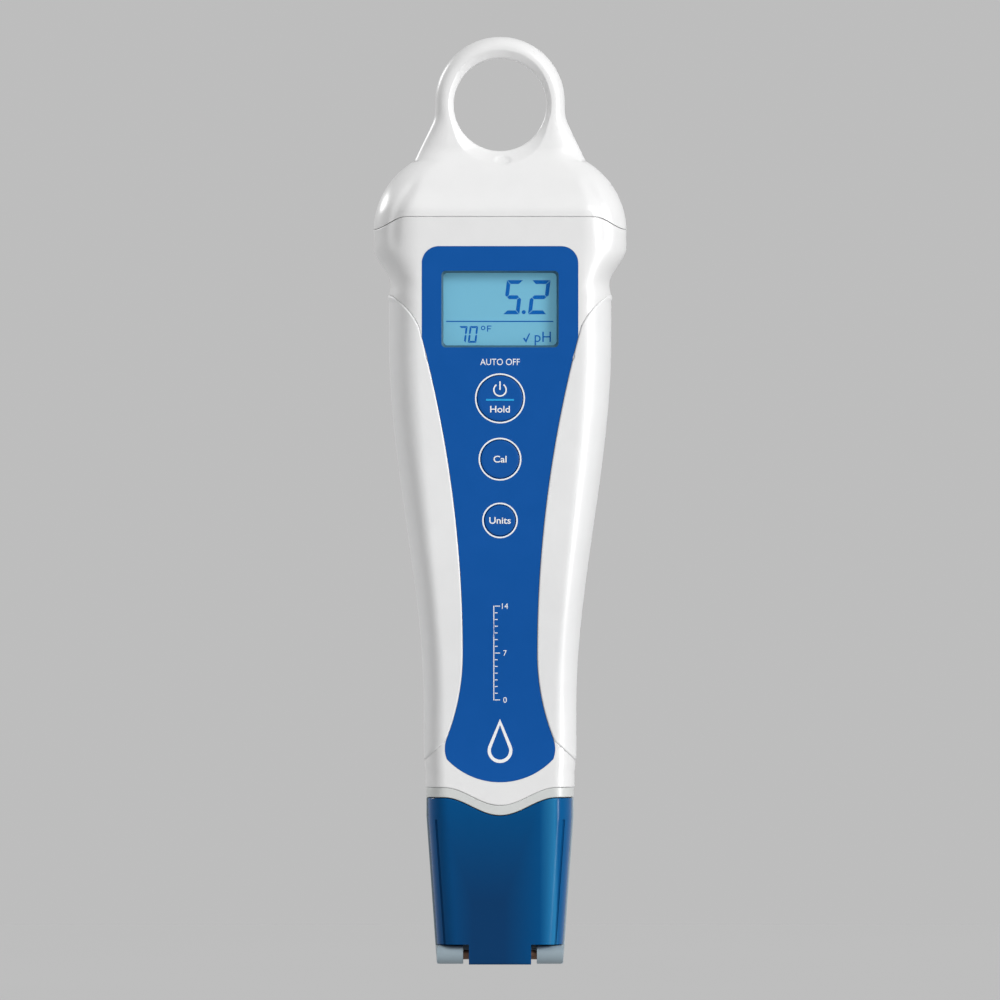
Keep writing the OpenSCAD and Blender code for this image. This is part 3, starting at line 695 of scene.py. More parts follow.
def label_loop(grow=0.0):
    """The label's outline, right side then left."""
    corner = LABEL_W - LABEL_CORNER_R, LABEL_TOP - LABEL_CORNER_R
    right = circle_loop(*corner, LABEL_CORNER_R + grow, 14, 90, 0)
    right += [(LABEL_W + grow, z) for z in np.linspace(LABEL_TOP - 6, LABEL_JOIN, 8)]
    for z in np.linspace(LABEL_JOIN - 0.6, 41, 80):
        arc = ARC_HI if z > ARC_HI[1] else ARC_LO
        x = arc_x(z, arc, 0) + grow
        foot = math.sqrt(max((LABEL_FOOT_R + grow) ** 2 - (z - LABEL_FOOT_Z - LABEL_FOOT_R) ** 2, 0))
        if z > 50 or x < foot:
            right.append((x, z))
    zc = LABEL_FOOT_Z + LABEL_FOOT_R
    a0 = math.degrees(math.atan2(right[-1][1] - zc, right[-1][0]))
    tip = np.array(right[-1])
    foot = circle_loop(0, zc, LABEL_FOOT_R + grow, 40, a0 - 2, -90)
    right, foot = ([p for p in line if math.dist(p, tip) > TIP_SOFT] for line in (right, foot))
    first, last = np.array(right[-1]), np.array(foot[0])
    for t in np.linspace(0, 1, 12)[1:-1]:
        right.append(tuple((1 - t) ** 2 * first + 2 * t * (1 - t) * tip + t**2 * last))
    right += foot
    return right + [(-x, z) for x, z in right[-2::-1]]


window_low, window_high = node_box("display_window")
WINDOW_Z = (window_low[2] + window_high[2]) / 2
WINDOW_W, WINDOW_H, WINDOW_R = 22.2, 14.5, 0.8
KEY_FLANGE, KEY_GAP = 0.8, 0.12
KEYS = {}
for key in ("hold_key", "cal_key", "units_key"):
    low, high = node_box(key)
    KEYS[key] = ((low[2] + high[2]) / 2, (high[0] - low[0]) / 2 - KEY_FLANGE)
window_loop = centred_rect(WINDOW_Z, WINDOW_W, WINDOW_H, WINDOW_R)
label_inside = label_loop(-0.6)
label_grid = [(x, z) for z in np.linspace(36, 80, 45) for x in np.arange(-9, 9.1, 3)]
label_grid = [p for p in label_grid if inside(np.array([p[0]]), np.array([p[1]]), label_inside)[0]]
label_holes = [window_loop] + [circle_loop(0, z, r + KEY_GAP, 96) for z, r in KEYS.values()]
label_loops = [label_loop()] + label_holes
label = flat_piece("face_label_sheet", label_loops, front_surface, proud=0, sunk=0.42, extra=label_grid)
place(label, "main", "label_blue", stands_for=["face_label"])

bezel_outer, bezel_inner = (
    np.array(centred_rect(WINDOW_Z, WINDOW_W - less, WINDOW_H - less, WINDOW_R, 10)) for less in (0.02, 0.8)
)
bezel_back = window_low[1] - 0.02
rings = [(bezel_outer, -HEAD_D + 0.1), (bezel_inner, bezel_back), (bezel_outer, bezel_back)]
verts = np.concatenate([np.stack([loop[:, 0], 0 * loop[:, 0] + y, loop[:, 1]], -1) for loop, y in rings])
loops = np.arange(len(verts)).reshape(3, -1)
faces = [face for a in range(3) for face in strip_faces(loops[a].tolist(), loops[(a + 1) % 3].tolist(), True)]
place(solid("window_bezel", verts, faces, sharp=25), "main", "white_shell", "bezel_blue")

# ---- housing halves
NEAR = np.array([0, 0.04, 0.09, 0.15, 0.22, 0.32, 0.5])  # steps in from an edge, dense where it is rounded
LEVELS = 108
ROWS = [(0, o) for o in NEAR] + [(k / LEVELS, 0) for k in range(1, LEVELS)] + [(1, -o) for o in NEAR[::-1]]
parting = 1 - np.array([0, 0.02, 0.045, 0.07, 0.11, 0.2, 0.5])
FRONT_U = np.concatenate([np.linspace(0, 1, 19)[:-1], np.linspace(1, 2, 25), 2 + 0.5 * parting[::-1][1:]])
REAR_U = U_MAX - FRONT_U
SETTLE = 5  # rounds in which a wavy edge and its points are brought to agree


def housing_half(name, half_u):
    u = np.concatenate([half_u[::-1], half_u[1:]])[None]
    side = np.concatenate([-np.ones(len(half_u)), np.ones(len(half_u) - 1)])[None]
    share, offset = np.array(ROWS).T[..., None]
    z = 32 + share * LEVELS + 0 * u
    for _ in range(SETTLE):
        x = on_section(body_section, z, u, side, 0)[..., 0]
        foot, head = wave(x), seam(x) - 0.05
        z = foot + (head - foot) * share + offset
    flat = on_section(body_section, z, u, side, 0)
    drop = rounding(np.minimum(z - foot, head - z), 0.2) + rounding(np.abs(flat[..., 1]), 0.16)
    outer = on_section(body_section, z, u, side, -drop)
    outer[..., 1] -= np.sign(flat[..., 1]) * ear_step(flat[..., 0], z)
    inner = on_section(body_section, z, u, side, -1.3)
    return solid(name, *between_grids(outer, inner), sharp=40)


def grip_pockets():
    return [grip_solid("cutter", s, gap=0, top=2, bottom=-0.9, soft=0) for s in (-1, 1)]


front = housing_half("front_housing_skin", FRONT_U)
pocket = flat_piece("cutter", [label_loop(0.03)], front_surface, proud=3, sunk=0.5, extra=label_grid)
cuts = [pocket, prism(window_loop, -CUT, 0)]
cuts += [prism(circle_loop(0, z, r + KEY_GAP, 97, 1.3, 361.3), -CUT, 0) for z, r in KEYS.values()]
combine(front, grip_pockets() + cuts, sharp=40)
place(front, "main", "white_shell", stands_for=["front_housing"])
rear = combine(housing_half("rear_housing_skin", REAR_U), grip_pockets(), sharp=40)
place(rear, "main", "white_shell", stands_for=["rear_housing"])


# ---- keys
STEM_R, STEM_END, FLANGE_BACK, FLANGE_FRONT, KEY_ROLL = 1.3, 3.6, 2.8, 2.1, 0.12
DISH_STEPS = 8
for key, (z, r) in KEYS.items():
    rim, flange = r - KEY_ROLL, r + KEY_FLANGE
    shares = [k / DISH_STEPS for k in range(DISH_STEPS + 1)]
    dish = [(rim - rim * share, 0.1 * math.sin(math.pi / 2 * share) ** 2) for share in shares]
    edge = [(r, 0.16), (r - 0.02, 0.07), (r - 0.06, 0.02)]
    back = [(0.0, STEM_END), (STEM_R, STEM_END), (STEM_R, FLANGE_BACK), (flange, FLANGE_BACK)]
    cap = revolve(f"{key}_cap", back + [(flange, FLANGE_FRONT), (r, FLANGE_FRONT)] + edge + dish)
    moved(cap, turn(-90, "X"), shift(0, node_box(key)[0][1], z))
    place(cap, key, "key_blue", stands_for=[key])


# ---- printing on the label and keys
CAPITAL = 0.729  # share of the size that a capital takes up in Blender's own font
WHITE_ON_LABEL = ("main", "label_blue", "print_white")


def text_piece(name, words, height, x, z, face_y, thick=0.03, weight=0.0, wide=1.0, turned=1.0):
    """Raised lettering: the words' capitals are `height` high and centred on (x, z)."""
    curve = bpy.data.curves.new(name, "FONT")
    curve.body, curve.size, curve.align_x, curve.align_y = words, 1.0, "CENTER", "CENTER"
    curve.extrude, curve.offset, curve.resolution_u = 0.5, weight, 6
    holder = new_object(name + "_curve", curve)
    mesh = evaluated_mesh(holder)
    bpy.data.objects.remove(holder)
    co = np.array([v.co for v in mesh.vertices])
    co[:, :2] -= (co[:, :2].max(0) + co[:, :2].min(0)) / 2
    scale = height / CAPITAL
    px, pz = x + co[:, 0] * scale * wide, z + co[:, 1] * scale
    py = face_y(pz) + turned * np.where(co[:, 2] > 0, -thick, 0.02)
    mesh.vertices.foreach_set("co", (np.stack([px, py, pz], 1) * MM).ravel())
    with edited(mesh) as bm:
        bmesh.ops.remove_doubles(bm, verts=bm.verts, dist=WELD)
        bmesh.ops.recalc_face_normals(bm, faces=bm.faces)
    return new_object(name, mesh)


def printed(name, loops, face_y, owner, proud=0.03, sunk=0.02, extra=()):
    """A raised mark on a surface; owner gives its body, slot and finish."""
    place(flat_piece(name, loops, face_y, proud, sunk, extra), *owner)


def key_surface(z):
    return -HEAD_D + 0 * z


HOLD_WORD_DROP = 2.05
key_prints = (
    ("hold_key", "Hold", 4.73, HOLD_WORD_DROP), ("cal_key", "Cal", 4.05, 0), ("units_key", "Units", 3.36, 0)
)
for key, words, ring_r, drop in key_prints:
    z = KEYS[key][0]
    ring = [circle_loop(0, z, r, 128) for r in (ring_r, ring_r - 0.27)]
    printed(f"{key}_ring", ring, key_surface, WHITE_ON_LABEL)
    lettering = text_piece(f"{key}_text", words, 1.3, 0, z - drop, key_surface, 0.02, weight=0.012, wide=1.1)
    place(lettering, key, "key_blue", "print_white")

hold_z = KEYS["hold_key"][0]
WHITE_ON_HOLD, CYAN_ON_HOLD = (("hold_key", "key_blue", ink) for ink in ("print_white", "print_cyan"))
power_z, start, end = hold_z + 1.62, 125, 415  # the arc stays open at its top
power = circle_loop(0, power_z, 1.3, 40, start, end) + circle_loop(0, power_z, 1.04, 40, end, start)
printed("power_ring", [power], key_surface, WHITE_ON_HOLD, proud=0.02)
power_bar = rect_loop(-0.13, 0.13, hold_z + 1.6, hold_z + 3.25, 0.1)
printed("power_bar", [power_bar], key_surface, WHITE_ON_HOLD, proud=0.02)
hold_bar = rect_loop(-2.66, 2.66, hold_z - 0.46, hold_z - 0.1, 0.08)
printed("hold_bar", [hold_bar], key_surface, CYAN_ON_HOLD, proud=0.02)
auto_off = text_piece("auto_off_text", "AUTO OFF", 1.26, 0, hold_z + 6.9, key_surface, wide=0.9)
place(auto_off, *WHITE_ON_LABEL)

# a plain 0 to 14 scale and a drop, where the real pen has printing of its maker
SCALE_LOW, SCALE_STEP, SCALE_TOP, SCALE_MAJOR, LINE_HALF = 50.2, 1.27, 14, 7, 0.08
scale_line = rect_loop(-1.25, -1.09, SCALE_LOW - LINE_HALF, SCALE_LOW + SCALE_TOP * SCALE_STEP + LINE_HALF)
line_points = [(-1.17, z) for z in np.arange(51, 68, 1.5)]
printed("scale_line", [scale_line], front_surface, WHITE_ON_LABEL, extra=line_points)
for k in range(SCALE_TOP + 1):
    z = SCALE_LOW + k * SCALE_STEP
    major = k % SCALE_MAJOR == 0
    tick = rect_loop(-1.0, -1.0 + (1.0 if major else 0.55), z - LINE_HALF, z + LINE_HALF)
    printed(f"scale_tick_{k}", [tick], front_surface, WHITE_ON_LABEL)
    if major:
        place(text_piece(f"scale_number_{k}", str(k), 1.1, 0.95, z, front_surface), *WHITE_ON_LABEL)


def drop_loop(grow):
    """A water drop's outline, its tip up."""
    low, r, tip = 40.6, 2.35 + grow, 46.6 + 1.9 * grow
    a0 = math.degrees(math.asin(r / (tip - low)))
    return circle_loop(0, low, r, 48, 180 - a0, 360 + a0) + [(0.0, tip)]


printed("drop_mark", [drop_loop(0), drop_loop(-0.62)], front_surface, WHITE_ON_LABEL)


# guessed marks on the rear: which cell goes in, and which way round
def densified(loop, step=1.0):
    """The loop with points added along its long edges, so that it can follow a curved surface."""
    points = []
    for a, b in zip(loop, loop[1:] + loop[:1]):
        count = max(1, round(math.dist(a, b) / step))
        points += [(a[0] + (b[0] - a[0]) * k / count, a[1] + (b[1] - a[1]) * k / count) for k in range(count)]
    return points


def mark_rect(half, low, high, r=0.0):
    return rect_loop(-half, half, CELL_MARK_Z + low, CELL_MARK_Z + high, r)


CELL_MARK_Z = 118.0
GREY_ON_SHELL = ("main", "white_shell", "print_grey")
PLUS_HALF, STROKE_HALF = 0.95, 0.15
marks = {
    "outline": [densified(mark_rect(3.2, -8, 8, 0.8)), densified(mark_rect(2.9, -7.7, 7.7, 0.55))],
    "nub": [mark_rect(1.1, 8.25, 9.1, 0.2)],
    "plus": [mark_rect(PLUS_HALF, 5.05, 5.35)] + [mark_rect(STROKE_HALF, z, z + 0.8) for z in (5.35, 4.25)],
    "minus": [mark_rect(PLUS_HALF, -5.95, -5.65)],
}
for name, loops in marks.items():
    printed(f"cell_mark_{name}", loops, rear_surface, GREY_ON_SHELL, proud=0.02, sunk=0.03)
words = text_piece("cell_mark_text", "AAA", 1.5, 0, CELL_MARK_Z, rear_surface, wide=-1.0, turned=-1.0)
place(words, *GREY_ON_SHELL)


# ---- display
LCD_Y = node_box("lcd_cell")[0][1]
SLANT = 0.12
INK_ON_LCD = ("main", "lcd", "lcd_ink")
SEGMENTS = {"0": "abcdef", "2": "abged", "5": "afgcd", "7": "abc"}


def lcd_surface(z):
    return LCD_Y + 0 * z


def digit_loops(char, x0, z0, w, h, t):
    """The lit segments of one slanted seven-segment digit, with mitred ends."""
    g, m, mid = 0.1 * t, t / 2, h / 2
    near, far, low, high = t + g, w - t - g, mid - m, mid + m
    shapes = {
        "a": [(g, h), (w - g, h), (far, h - t), (near, h - t)],
        "d": [(g, 0), (w - g, 0), (far, t), (near, t)],
        "g": [(m + g, mid), (near, high), (far, high), (w - m - g, mid), (far, low), (near, low)],
        "f": [(0, h - g), (t, h - t - g), (t, mid + m + g), (m, mid + g), (0, mid + m)],
        "e": [(0, g), (t, t + g), (t, mid - m - g), (m, mid - g), (0, mid - m)],
    }
    shapes["b"] = [(w - x, z) for x, z in shapes["f"]]
    shapes["c"] = [(w - x, z) for x, z in shapes["e"]]
    return [[(x0 + x + SLANT * z, z0 + z) for x, z in shapes[c]] for c in SEGMENTS[char]]


def ink(name, loops):
    printed(name, loops, lcd_surface, INK_ON_LCD, sunk=0.01)


BIG_DIGIT = {"h": 6.45, "t": 0.72}
SMALL_DIGIT = {"w": 1.6, "h": 3.15, "t": 0.36}
big, small = WINDOW_Z - 0.85, WINDOW_Z - 6.3
ink("digit_units", digit_loops("5", 0.55, big - 0.1, 3.1, **BIG_DIGIT))
ink("digit_tenths", digit_loops("2", 5.3, big - 0.1, 3.5, **BIG_DIGIT))
ink("digit_point", [circle_loop(4.5, big + 0.3, 0.38, 24)])
ink("display_divider", [rect_loop(-10.2, 10.1, WINDOW_Z - 2.42, WINDOW_Z - 2.2)])
ink("digit_seventy_tens", digit_loops("7", -8.1, small - 0.05, **SMALL_DIGIT))
ink("digit_seventy_ones", digit_loops("0", -6.1, small - 0.05, **SMALL_DIGIT))
check = [(4.35, 0.75), (4.62, 0.95), (4.88, 0.5), (5.5, 1.75), (5.72, 1.72), (4.95, -0.05)]
ink("display_check", [[(x, small + z) for x, z in check]])
ring_z = small + 2.75
ink("display_degree_ring", [circle_loop(-3.2, ring_z, r, 32) for r in (0.42, 0.24)])
stem, arm, wide_arm = 0.2, 0.7, 0.82
letter = [(0, 0), (stem, 0), (stem, 0.46), (arm, 0.46), (arm, 0.64), (stem, 0.64)]
letter += [(stem, 0.97), (wide_arm, 0.97), (wide_arm, 1.15), (0, 1.15)]
ink("display_degree_letter", [[(x - 2.45, z + small + 2.05) for x, z in letter]])
place(text_piece("display_ph", "pH", 2.05, 8.1, small + 0.75, lcd_surface), *INK_ON_LCD)


# ---- battery cap and hanging loop
def cap_boundary():
    """Right half of the cap's outline in x and z, from the loop's top round to the seam's middle."""
    points = [(LOOP_R * math.sin(a), LOOP_Z + LOOP_R * math.cos(a)) for a in np.linspace(0, math.pi / 2, 34)]
    for z in np.linspace(NECK_TOP, KINK_Z + 0.15, 24):
        points.append((float(half_w(z)), z))
    for a in np.linspace(math.asin((KINK_Z - SHOULDER_Z) / SHOULDER_R), math.asin(0.4 / SHOULDER_R), 26):
        points.append((EAR_W - SHOULDER_R + SHOULDER_R * math.cos(a), SHOULDER_Z + SHOULDER_R * math.sin(a)))
    for x in list(np.linspace(23.7, 18, 14)) + list(np.linspace(17.2, 0, 22)):
        points.append((x, float(seam(x))))
    return np.array(points)


def cap_depth(x, z):
    """Half depth of the cap at a point of its front view."""
    level = np.minimum(z, LOOP_Z)
    w, d, c = half_w(level), top_depth(level), corner_w(level)
    q = np.where(z > LOOP_Z, np.hypot(x, z - LOOP_Z), np.abs(x))
    past = np.clip((q - w + c) / c, 0, 1)
    return np.where(q <= w - c, d, SIDE_SHARE * d + (1 - SIDE_SHARE) * d * np.sqrt(1 - past**2))


# The cap's front and back are grids on rays from near the hole's centre: over its bevel, then to the outline.
RAY_DROP = 3.1  # the rays start this far below the hole's centre
DENT_X, DENT_Z, DENT_WIDE, DENT_HIGH, DENT_DEEP = 0.55, 152.5, 1.6, 0.85, 0.32
right = cap_boundary()
rim_points = np.concatenate([right, right[-2:0:-1] * [-1, 1]])
from_low = rim_points - [0, HOLE_Z - RAY_DROP]
ray = from_low / np.linalg.norm(from_low, axis=1)[:, None]
along = RAY_DROP * ray[:, 1] + np.sqrt(HOLE_R**2 - RAY_DROP**2 * (1 - ray[:, 1] ** 2))
angle = np.arctan2(along * ray[:, 1] - RAY_DROP, along * ray[:, 0])
bevel = 1.0 + 1.6 * smooth((-np.sin(angle) - 0.3) / 0.7) + 0.6 * smooth((np.sin(angle) - 0.2) / 0.8)
bevel_steps = np.array([0, 0.04, 0.1, 0.2, 0.3, 0.4, 0.5, 0.6, 0.7, 0.8, 0.9, 0.97, 1.04])
main_steps = 1 - (1 - np.linspace(0, 1, 46)[1:]) ** 2
ring = HOLE_R + bevel[:, None] * bevel_steps
grid = np.stack([ring * np.cos(angle)[:, None], HOLE_Z + ring * np.sin(angle)[:, None]], -1)
outward = (rim_points - grid[:, -1])[:, None] * main_steps[None, :, None]
px, pz = np.moveaxis(np.concatenate([grid, grid[:, -1:] + outward], 1), -1, 0)
rho = np.hypot(px, pz - HOLE_Z)
share = np.clip((rho - HOLE_R) / bevel[:, None], 0, 1)
hole_drop = (1 - share) ** 1.1 + rounding(rho - HOLE_R, 0.25)
dent = DENT_DEEP * smooth(2.2 - 1.9 * np.hypot((px - DENT_X) / DENT_WIDE, (pz - DENT_Z) / DENT_HIGH))
half = cap_depth(px, pz) - hole_drop - rounding(pz - seam(px), 0.2) - ear_step(px, pz)
front_grid = np.stack([px, dent - half, pz], -1)
back_grid = np.stack([px, half, pz], -1)
count, steps = px.shape
across = np.linspace(-1, 1, 15)[1:-1]
verts = [front_grid.reshape(-1, 3), back_grid.reshape(-1, 3)]
index = np.arange(count * steps).reshape(count, steps)
lines = [index, index + count * steps]
made = 2 * count * steps
for column in (0, -1):  # the hole's wall, then the outer wall
    edge = np.stack([px[:, column], half[:, column], pz[:, column]], -1)
    walls = edge[:, None] * np.stack([0 * across + 1, across, 0 * across + 1], -1)[None]
    verts.append(walls.reshape(-1, 3))
    inner = made + np.arange(count * len(across)).reshape(count, -1)
    made += inner.size
    front_edge, back_edge = (grid[:, column][:, None] for grid in lines[:2])
    lines.append(np.concatenate([front_edge, inner, back_edge], 1))
faces = []
for line in lines:
    line = line.tolist()
    for i in range(count):
        here, after = line[i], line[(i + 1) % count]
        faces += [(here[j], after[j], after[j + 1], here[j + 1]) for j in range(len(here) - 1)]
cap = solid("battery_cap_skin", np.concatenate(verts), faces, sharp=30)
cavity_levels = np.linspace(136, 144.5, 8)
cavity = block_through("cutter", body_section, cavity_levels, lift=-2.5, u=np.linspace(0, U_MAX, 61))
combine(cap, [cavity], sharp=30)
place(cap, "battery_cap", "white_cap", stands_for=["battery_cap"])

cell_low, cell_high = node_box("battery_cell")
CELL_AXIS = (0.0, (cell_low[1] + cell_high[1]) / 2)
oring = node_box("cap_oring")
groove = (oring[0][2] + oring[1][2]) / 2
foot = cell_high[2] + 0.35
SPIGOT_R, SPIGOT_IN, SPIGOT_TOP, GROOVE_R, GROOVE_HALF = 7.2, 5.2, 144.6, 6.5, 0.45
spigot_profile = [
    (SPIGOT_IN, foot), (SPIGOT_R - 0.3, foot), (SPIGOT_R, foot + 0.3), (SPIGOT_R, groove - GROOVE_HALF),
    (GROOVE_R, groove - GROOVE_HALF), (GROOVE_R, groove + GROOVE_HALF), (SPIGOT_R, groove + GROOVE_HALF),
    (SPIGOT_R, SPIGOT_TOP), (SPIGOT_IN, SPIGOT_TOP),
]
spigot = revolve("battery_cap_spigot", spigot_profile, CELL_AXIS, closed=True)
place(spigot, "battery_cap", "white_cap")

# ---- probe collar
COLLAR_U = np.concatenate([u + np.arange(n) / n for u, n in enumerate((24, 16, 8, 16, 24))] + [[U_MAX]])


def wavy_band(name, section, low, high, lift, wall, soft):
    """Ring whose lower and upper edges follow the wave, low and high above it."""
    u, side = ring_columns(COLLAR_U)
    edge = NEAR[:6] * soft / 0.3
    offsets = np.concatenate([low + edge, np.linspace(low + 0.45, high - 0.45, 4), high - edge[::-1]])
    z = WAVE_LO + 0 * u + offsets[:, None]
    for _ in range(SETTLE):
        x = on_section(section, z, u, side, lift)[..., 0]
        z = wave(x) + offsets[:, None]
    drop = rounding(np.minimum(offsets - low, high - offsets)[:, None], soft)
    return shell(name, section, (z, u, side), lift - drop, lift - wall, wrap=True)


collar = wavy_band("probe_collar_band", collar_section, low=-1.85, high=-0.03, lift=0, wall=3, soft=0.15)
place(collar, "main", "collar_grey", stands_for=["probe_collar"])
SLEEVE_R = node_box("probe_sleeve")[1][0]
plug = block_through("probe_collar_plug", foot_section, [26, 26.3, 28, 30, 33], lift=-2.45, u=COLLAR_U)
bore = prism(circle_loop(0, 0, SLEEVE_R + 0.05), -CUT, CUT)
combine(plug, [moved(bore, turn(90, "X"), shift(0, 0, 30))])
place(plug, "main", "collar_grey")

# ---- storage cap
CUP_R, CUP_FLOOR, CUP_RIM, CUP_WALL = 5.5, 4.8, 25.2, 1.1
CLIP_FRONT, CLIP_OUT, CLIP_IN = 1.5, 0.3, -0.75
TAB_W, FOOT_GAP, BACK_STEP, GAP = 5.9, 3.8, 5.4, 0.15
pin_low, pin_high = node_box("clip_pin")
PIN_Y, PIN_Z = (pin_low[1] + pin_high[1]) / 2, (pin_low[2] + pin_high[2]) / 2
PIN_R = (pin_high[2] - pin_low[2]) / 2


def pin_cutter(gap, reach):
    """Cylinder that stands a gap outside the clip's pin."""
    upright = rod_cutter(PIN_R + gap, -reach, reach, 48)
    return moved(upright, turn(90, "Y"), shift(0, PIN_Y, PIN_Z))


def wavy_block(name, section, levels, top, lift):
    """Solid that fills a section up to the wave, lowered by top."""
    u, side = ring_columns(COLLAR_U)
    share = np.asarray(levels, float)[:, None]
    z = 0 * u + 30 * share
    for _ in range(SETTLE):
        x = on_section(section, z, u, side, lift)[..., 0]
        z = wave(x, -top) * share
    edge = wave(x, -top) - z
    drop = rounding(edge, 0.25) + rounding(z, 0.4)
    outer = on_section(section, z, u, side, lift - drop)
    inmost = on_section(section, z[-1:], u, side, lift - 2.4)
    return stacked(name, np.concatenate([outer, inmost]))


def clip_band(name, front_y, low, high_lift, outer_lift, inner_lift, soft):
    """Channel round the sides and rear of the storage cap, from its front edges at y = -front_y."""
    ends = np.array([0, 0.002, 0.005, 0.009])
    share = np.concatenate([ends, np.linspace(0.02, 0.98, 40), 1 - ends[::-1]])[:, None]
    side_u = np.concatenate([[0, 0.012, 0.03, 0.06], np.linspace(0.1, 0.9, 9), [1]])
    rear_u = np.concatenate([np.linspace(*part)[1:] for part in ((U_MID, 3, 5), (3, 4, 17), (4, U_MAX, 17))])
    half_cols = len(side_u) + len(rear_u)
    side = np.concatenate([np.ones(half_cols), -np.ones(half_cols - 1)])[None]
    z = share * 28 + 0 * side
    for _ in range(SETTLE):
        start = u_at_y(foot_section, z[:, : len(side_u)], front_y)
        u = np.concatenate([start + (U_MID - start) * side_u, np.repeat(rear_u[None], len(share), 0)], 1)
        u = np.concatenate([u, u[:, -2::-1]], 1)
        x = on_section(foot_section, z, u, side, outer_lift)[..., 0]
        top = wave(x, high_lift)
        z = low + (top - low) * share
    flat = on_section(foot_section, z, u, side, 0)
    edge = np.minimum(np.minimum(z - low, top - z), flat[..., 1] + front_y)
    drop = rounding(np.maximum(edge, 0), soft) if soft else 0
    return shell(name, foot_section, (z, u, side), outer_lift - drop, inner_lift)


levels = np.concatenate([[0, 0.002, 0.006, 0.012], np.linspace(0.03, 0.96, 34), [0.985, 0.9925, 0.997, 1]])
blue = wavy_block("storage_cap_shell", foot_section, levels, top=2, lift=0)
recess = clip_band(
    "cutter", CLIP_FRONT + GAP, low=-3, high_lift=6, outer_lift=4, inner_lift=CLIP_IN - GAP, soft=0
)
cup = rod_cutter(CUP_R, CUP_FLOOR, 60)
hollow = block_through("cutter", foot_section, [CUP_FLOOR, 16, 28, 36], lift=-2.2, u=COLLAR_U)
combine(hollow, [rod_cutter(CUP_R + CUP_WALL, 0, CUP_RIM)])
openings = [box_cutter((x0, -CUT, -2), (x1, CUT, FOOT_GAP)) for x0, x1 in ((-WIDE, -TAB_W), (TAB_W, WIDE))]
back_step = box_cutter((-WIDE, BACK_STEP, -2), (WIDE, CUT, FOOT_GAP))
GROOVE_IN, GROOVE_W, GROOVE_DEEP = 1.5, 0.2, 0.45  # draft mark: place in from the side, half width, depth
GROOVE_TOP, GROOVE_FRONT = 27.5, -12
grooves = []
for s in (-1, 1):
    points = []
    for z in (FOOT_GAP - 1, GROOVE_TOP):
        w, d, _, c = foot_section(z)
        x = float(w) - GROOVE_IN
        bend = math.sqrt(1 - ((x - w + c) / c) ** 2)
        y = GROOVE_DEEP - float(SIDE_SHARE * d + (1 - SIDE_SHARE) * d * bend)
        x0, x1 = s * x - GROOVE_W, s * x + GROOVE_W
        points += [(x0, GROOVE_FRONT, z), (x1, GROOVE_FRONT, z), (x1, y, z), (x0, y, z)]
    grooves.append(solid("cutter", points, grid_faces(2, 4, 0, True) + [(3, 2, 1, 0), (4, 5, 6, 7)]))
combine(blue, [recess, hollow, cup, back_step, pin_cutter(0.04, CUT)] + openings + grooves)
place(blue, "storage_cap", "cap_blue", stands_for=["storage_cap"])

# ---- clip
clip = clip_band("cap_clip_wings", CLIP_FRONT, PIN_Z, -2, CLIP_OUT, CLIP_IN, soft=0.14)
place(clip, "cap_clip", "clip_frosted", stands_for=["cap_clip"])
KNUCKLE_R = PIN_Z - node_box("cap_clip")[0][2]
KNUCKLE_IN, KNUCKLE_END, KNUCKLE_BACK = 7.0, 11.93, 7.2  # inner and outer x, and rear y
KNUCKLE_HALF, KNUCKLE_SHARP = 3, 62
FRONT_END_Y, FRONT_END_Z = PIN_Y + 0.6, (PIN_Z - KNUCKLE_R - 0.02, PIN_Z + KNUCKLE_R + 0.02)


def soft_edges(obj, width):
    bevel = obj.modifiers.new("soft_edges", "BEVEL")
    bevel.width, bevel.segments, bevel.limit_method = width, 3, "ANGLE"
    return obj


for s, label_side in ((-1, "left"), (1, "right")):
    loop = circle_loop(PIN_Y, PIN_Z, KNUCKLE_R, 25, 90, 270)
    loop += [(KNUCKLE_BACK, PIN_Z - KNUCKLE_R), (KNUCKLE_BACK, PIN_Z + KNUCKLE_R)]
    knuckle = prism(loop, -KNUCKLE_HALF, KNUCKLE_HALF, f"cap_clip_knuckle_{label_side}")
    outwards = shift(s * (KNUCKLE_IN + KNUCKLE_HALF), 0, 0)
    moved(knuckle, turn(-90, "Z"), Matrix.Scale(-1, 4, (0, 1, 0)), outwards).data.flip_normals()
    trim = block_through("cutter", foot_section, [-3, 0, 3.8, 8], lift=CLIP_OUT - 0.03, u=COLLAR_U)
    ends = sorted((s * (KNUCKLE_IN - 0.5), s * KNUCKLE_END))
    front_end = prism(rect_loop(*ends, *FRONT_END_Z, 0.6, 10), -CUT, FRONT_END_Y)
    combine(trim, [box_cutter((-WIDE, -CUT, -5), (WIDE, FRONT_END_Y, 10))])
    combine(trim, [front_end], "UNION")
    combine(knuckle, [trim], "INTERSECT", KNUCKLE_SHARP)
    combine(knuckle, [pin_cutter(0.05, pin_high[0] + 0.1)], sharp=KNUCKLE_SHARP)
    place(soft_edges(knuckle, 0.00028), "cap_clip", "clip_frosted")
LIP_HALF, LIP_LOW, LIP_HIGH, LIP_FRONT, LIP_BACK = 5, 25, 26.6, 7.9, 9.6
lip_loop = rect_loop(-LIP_HALF, LIP_HALF, LIP_LOW, LIP_HIGH, 0.5)
lip = prism(lip_loop, LIP_FRONT, LIP_BACK, "cap_clip_lip")
place(soft_edges(lip, 0.0003), "cap_clip", "clip_frosted")

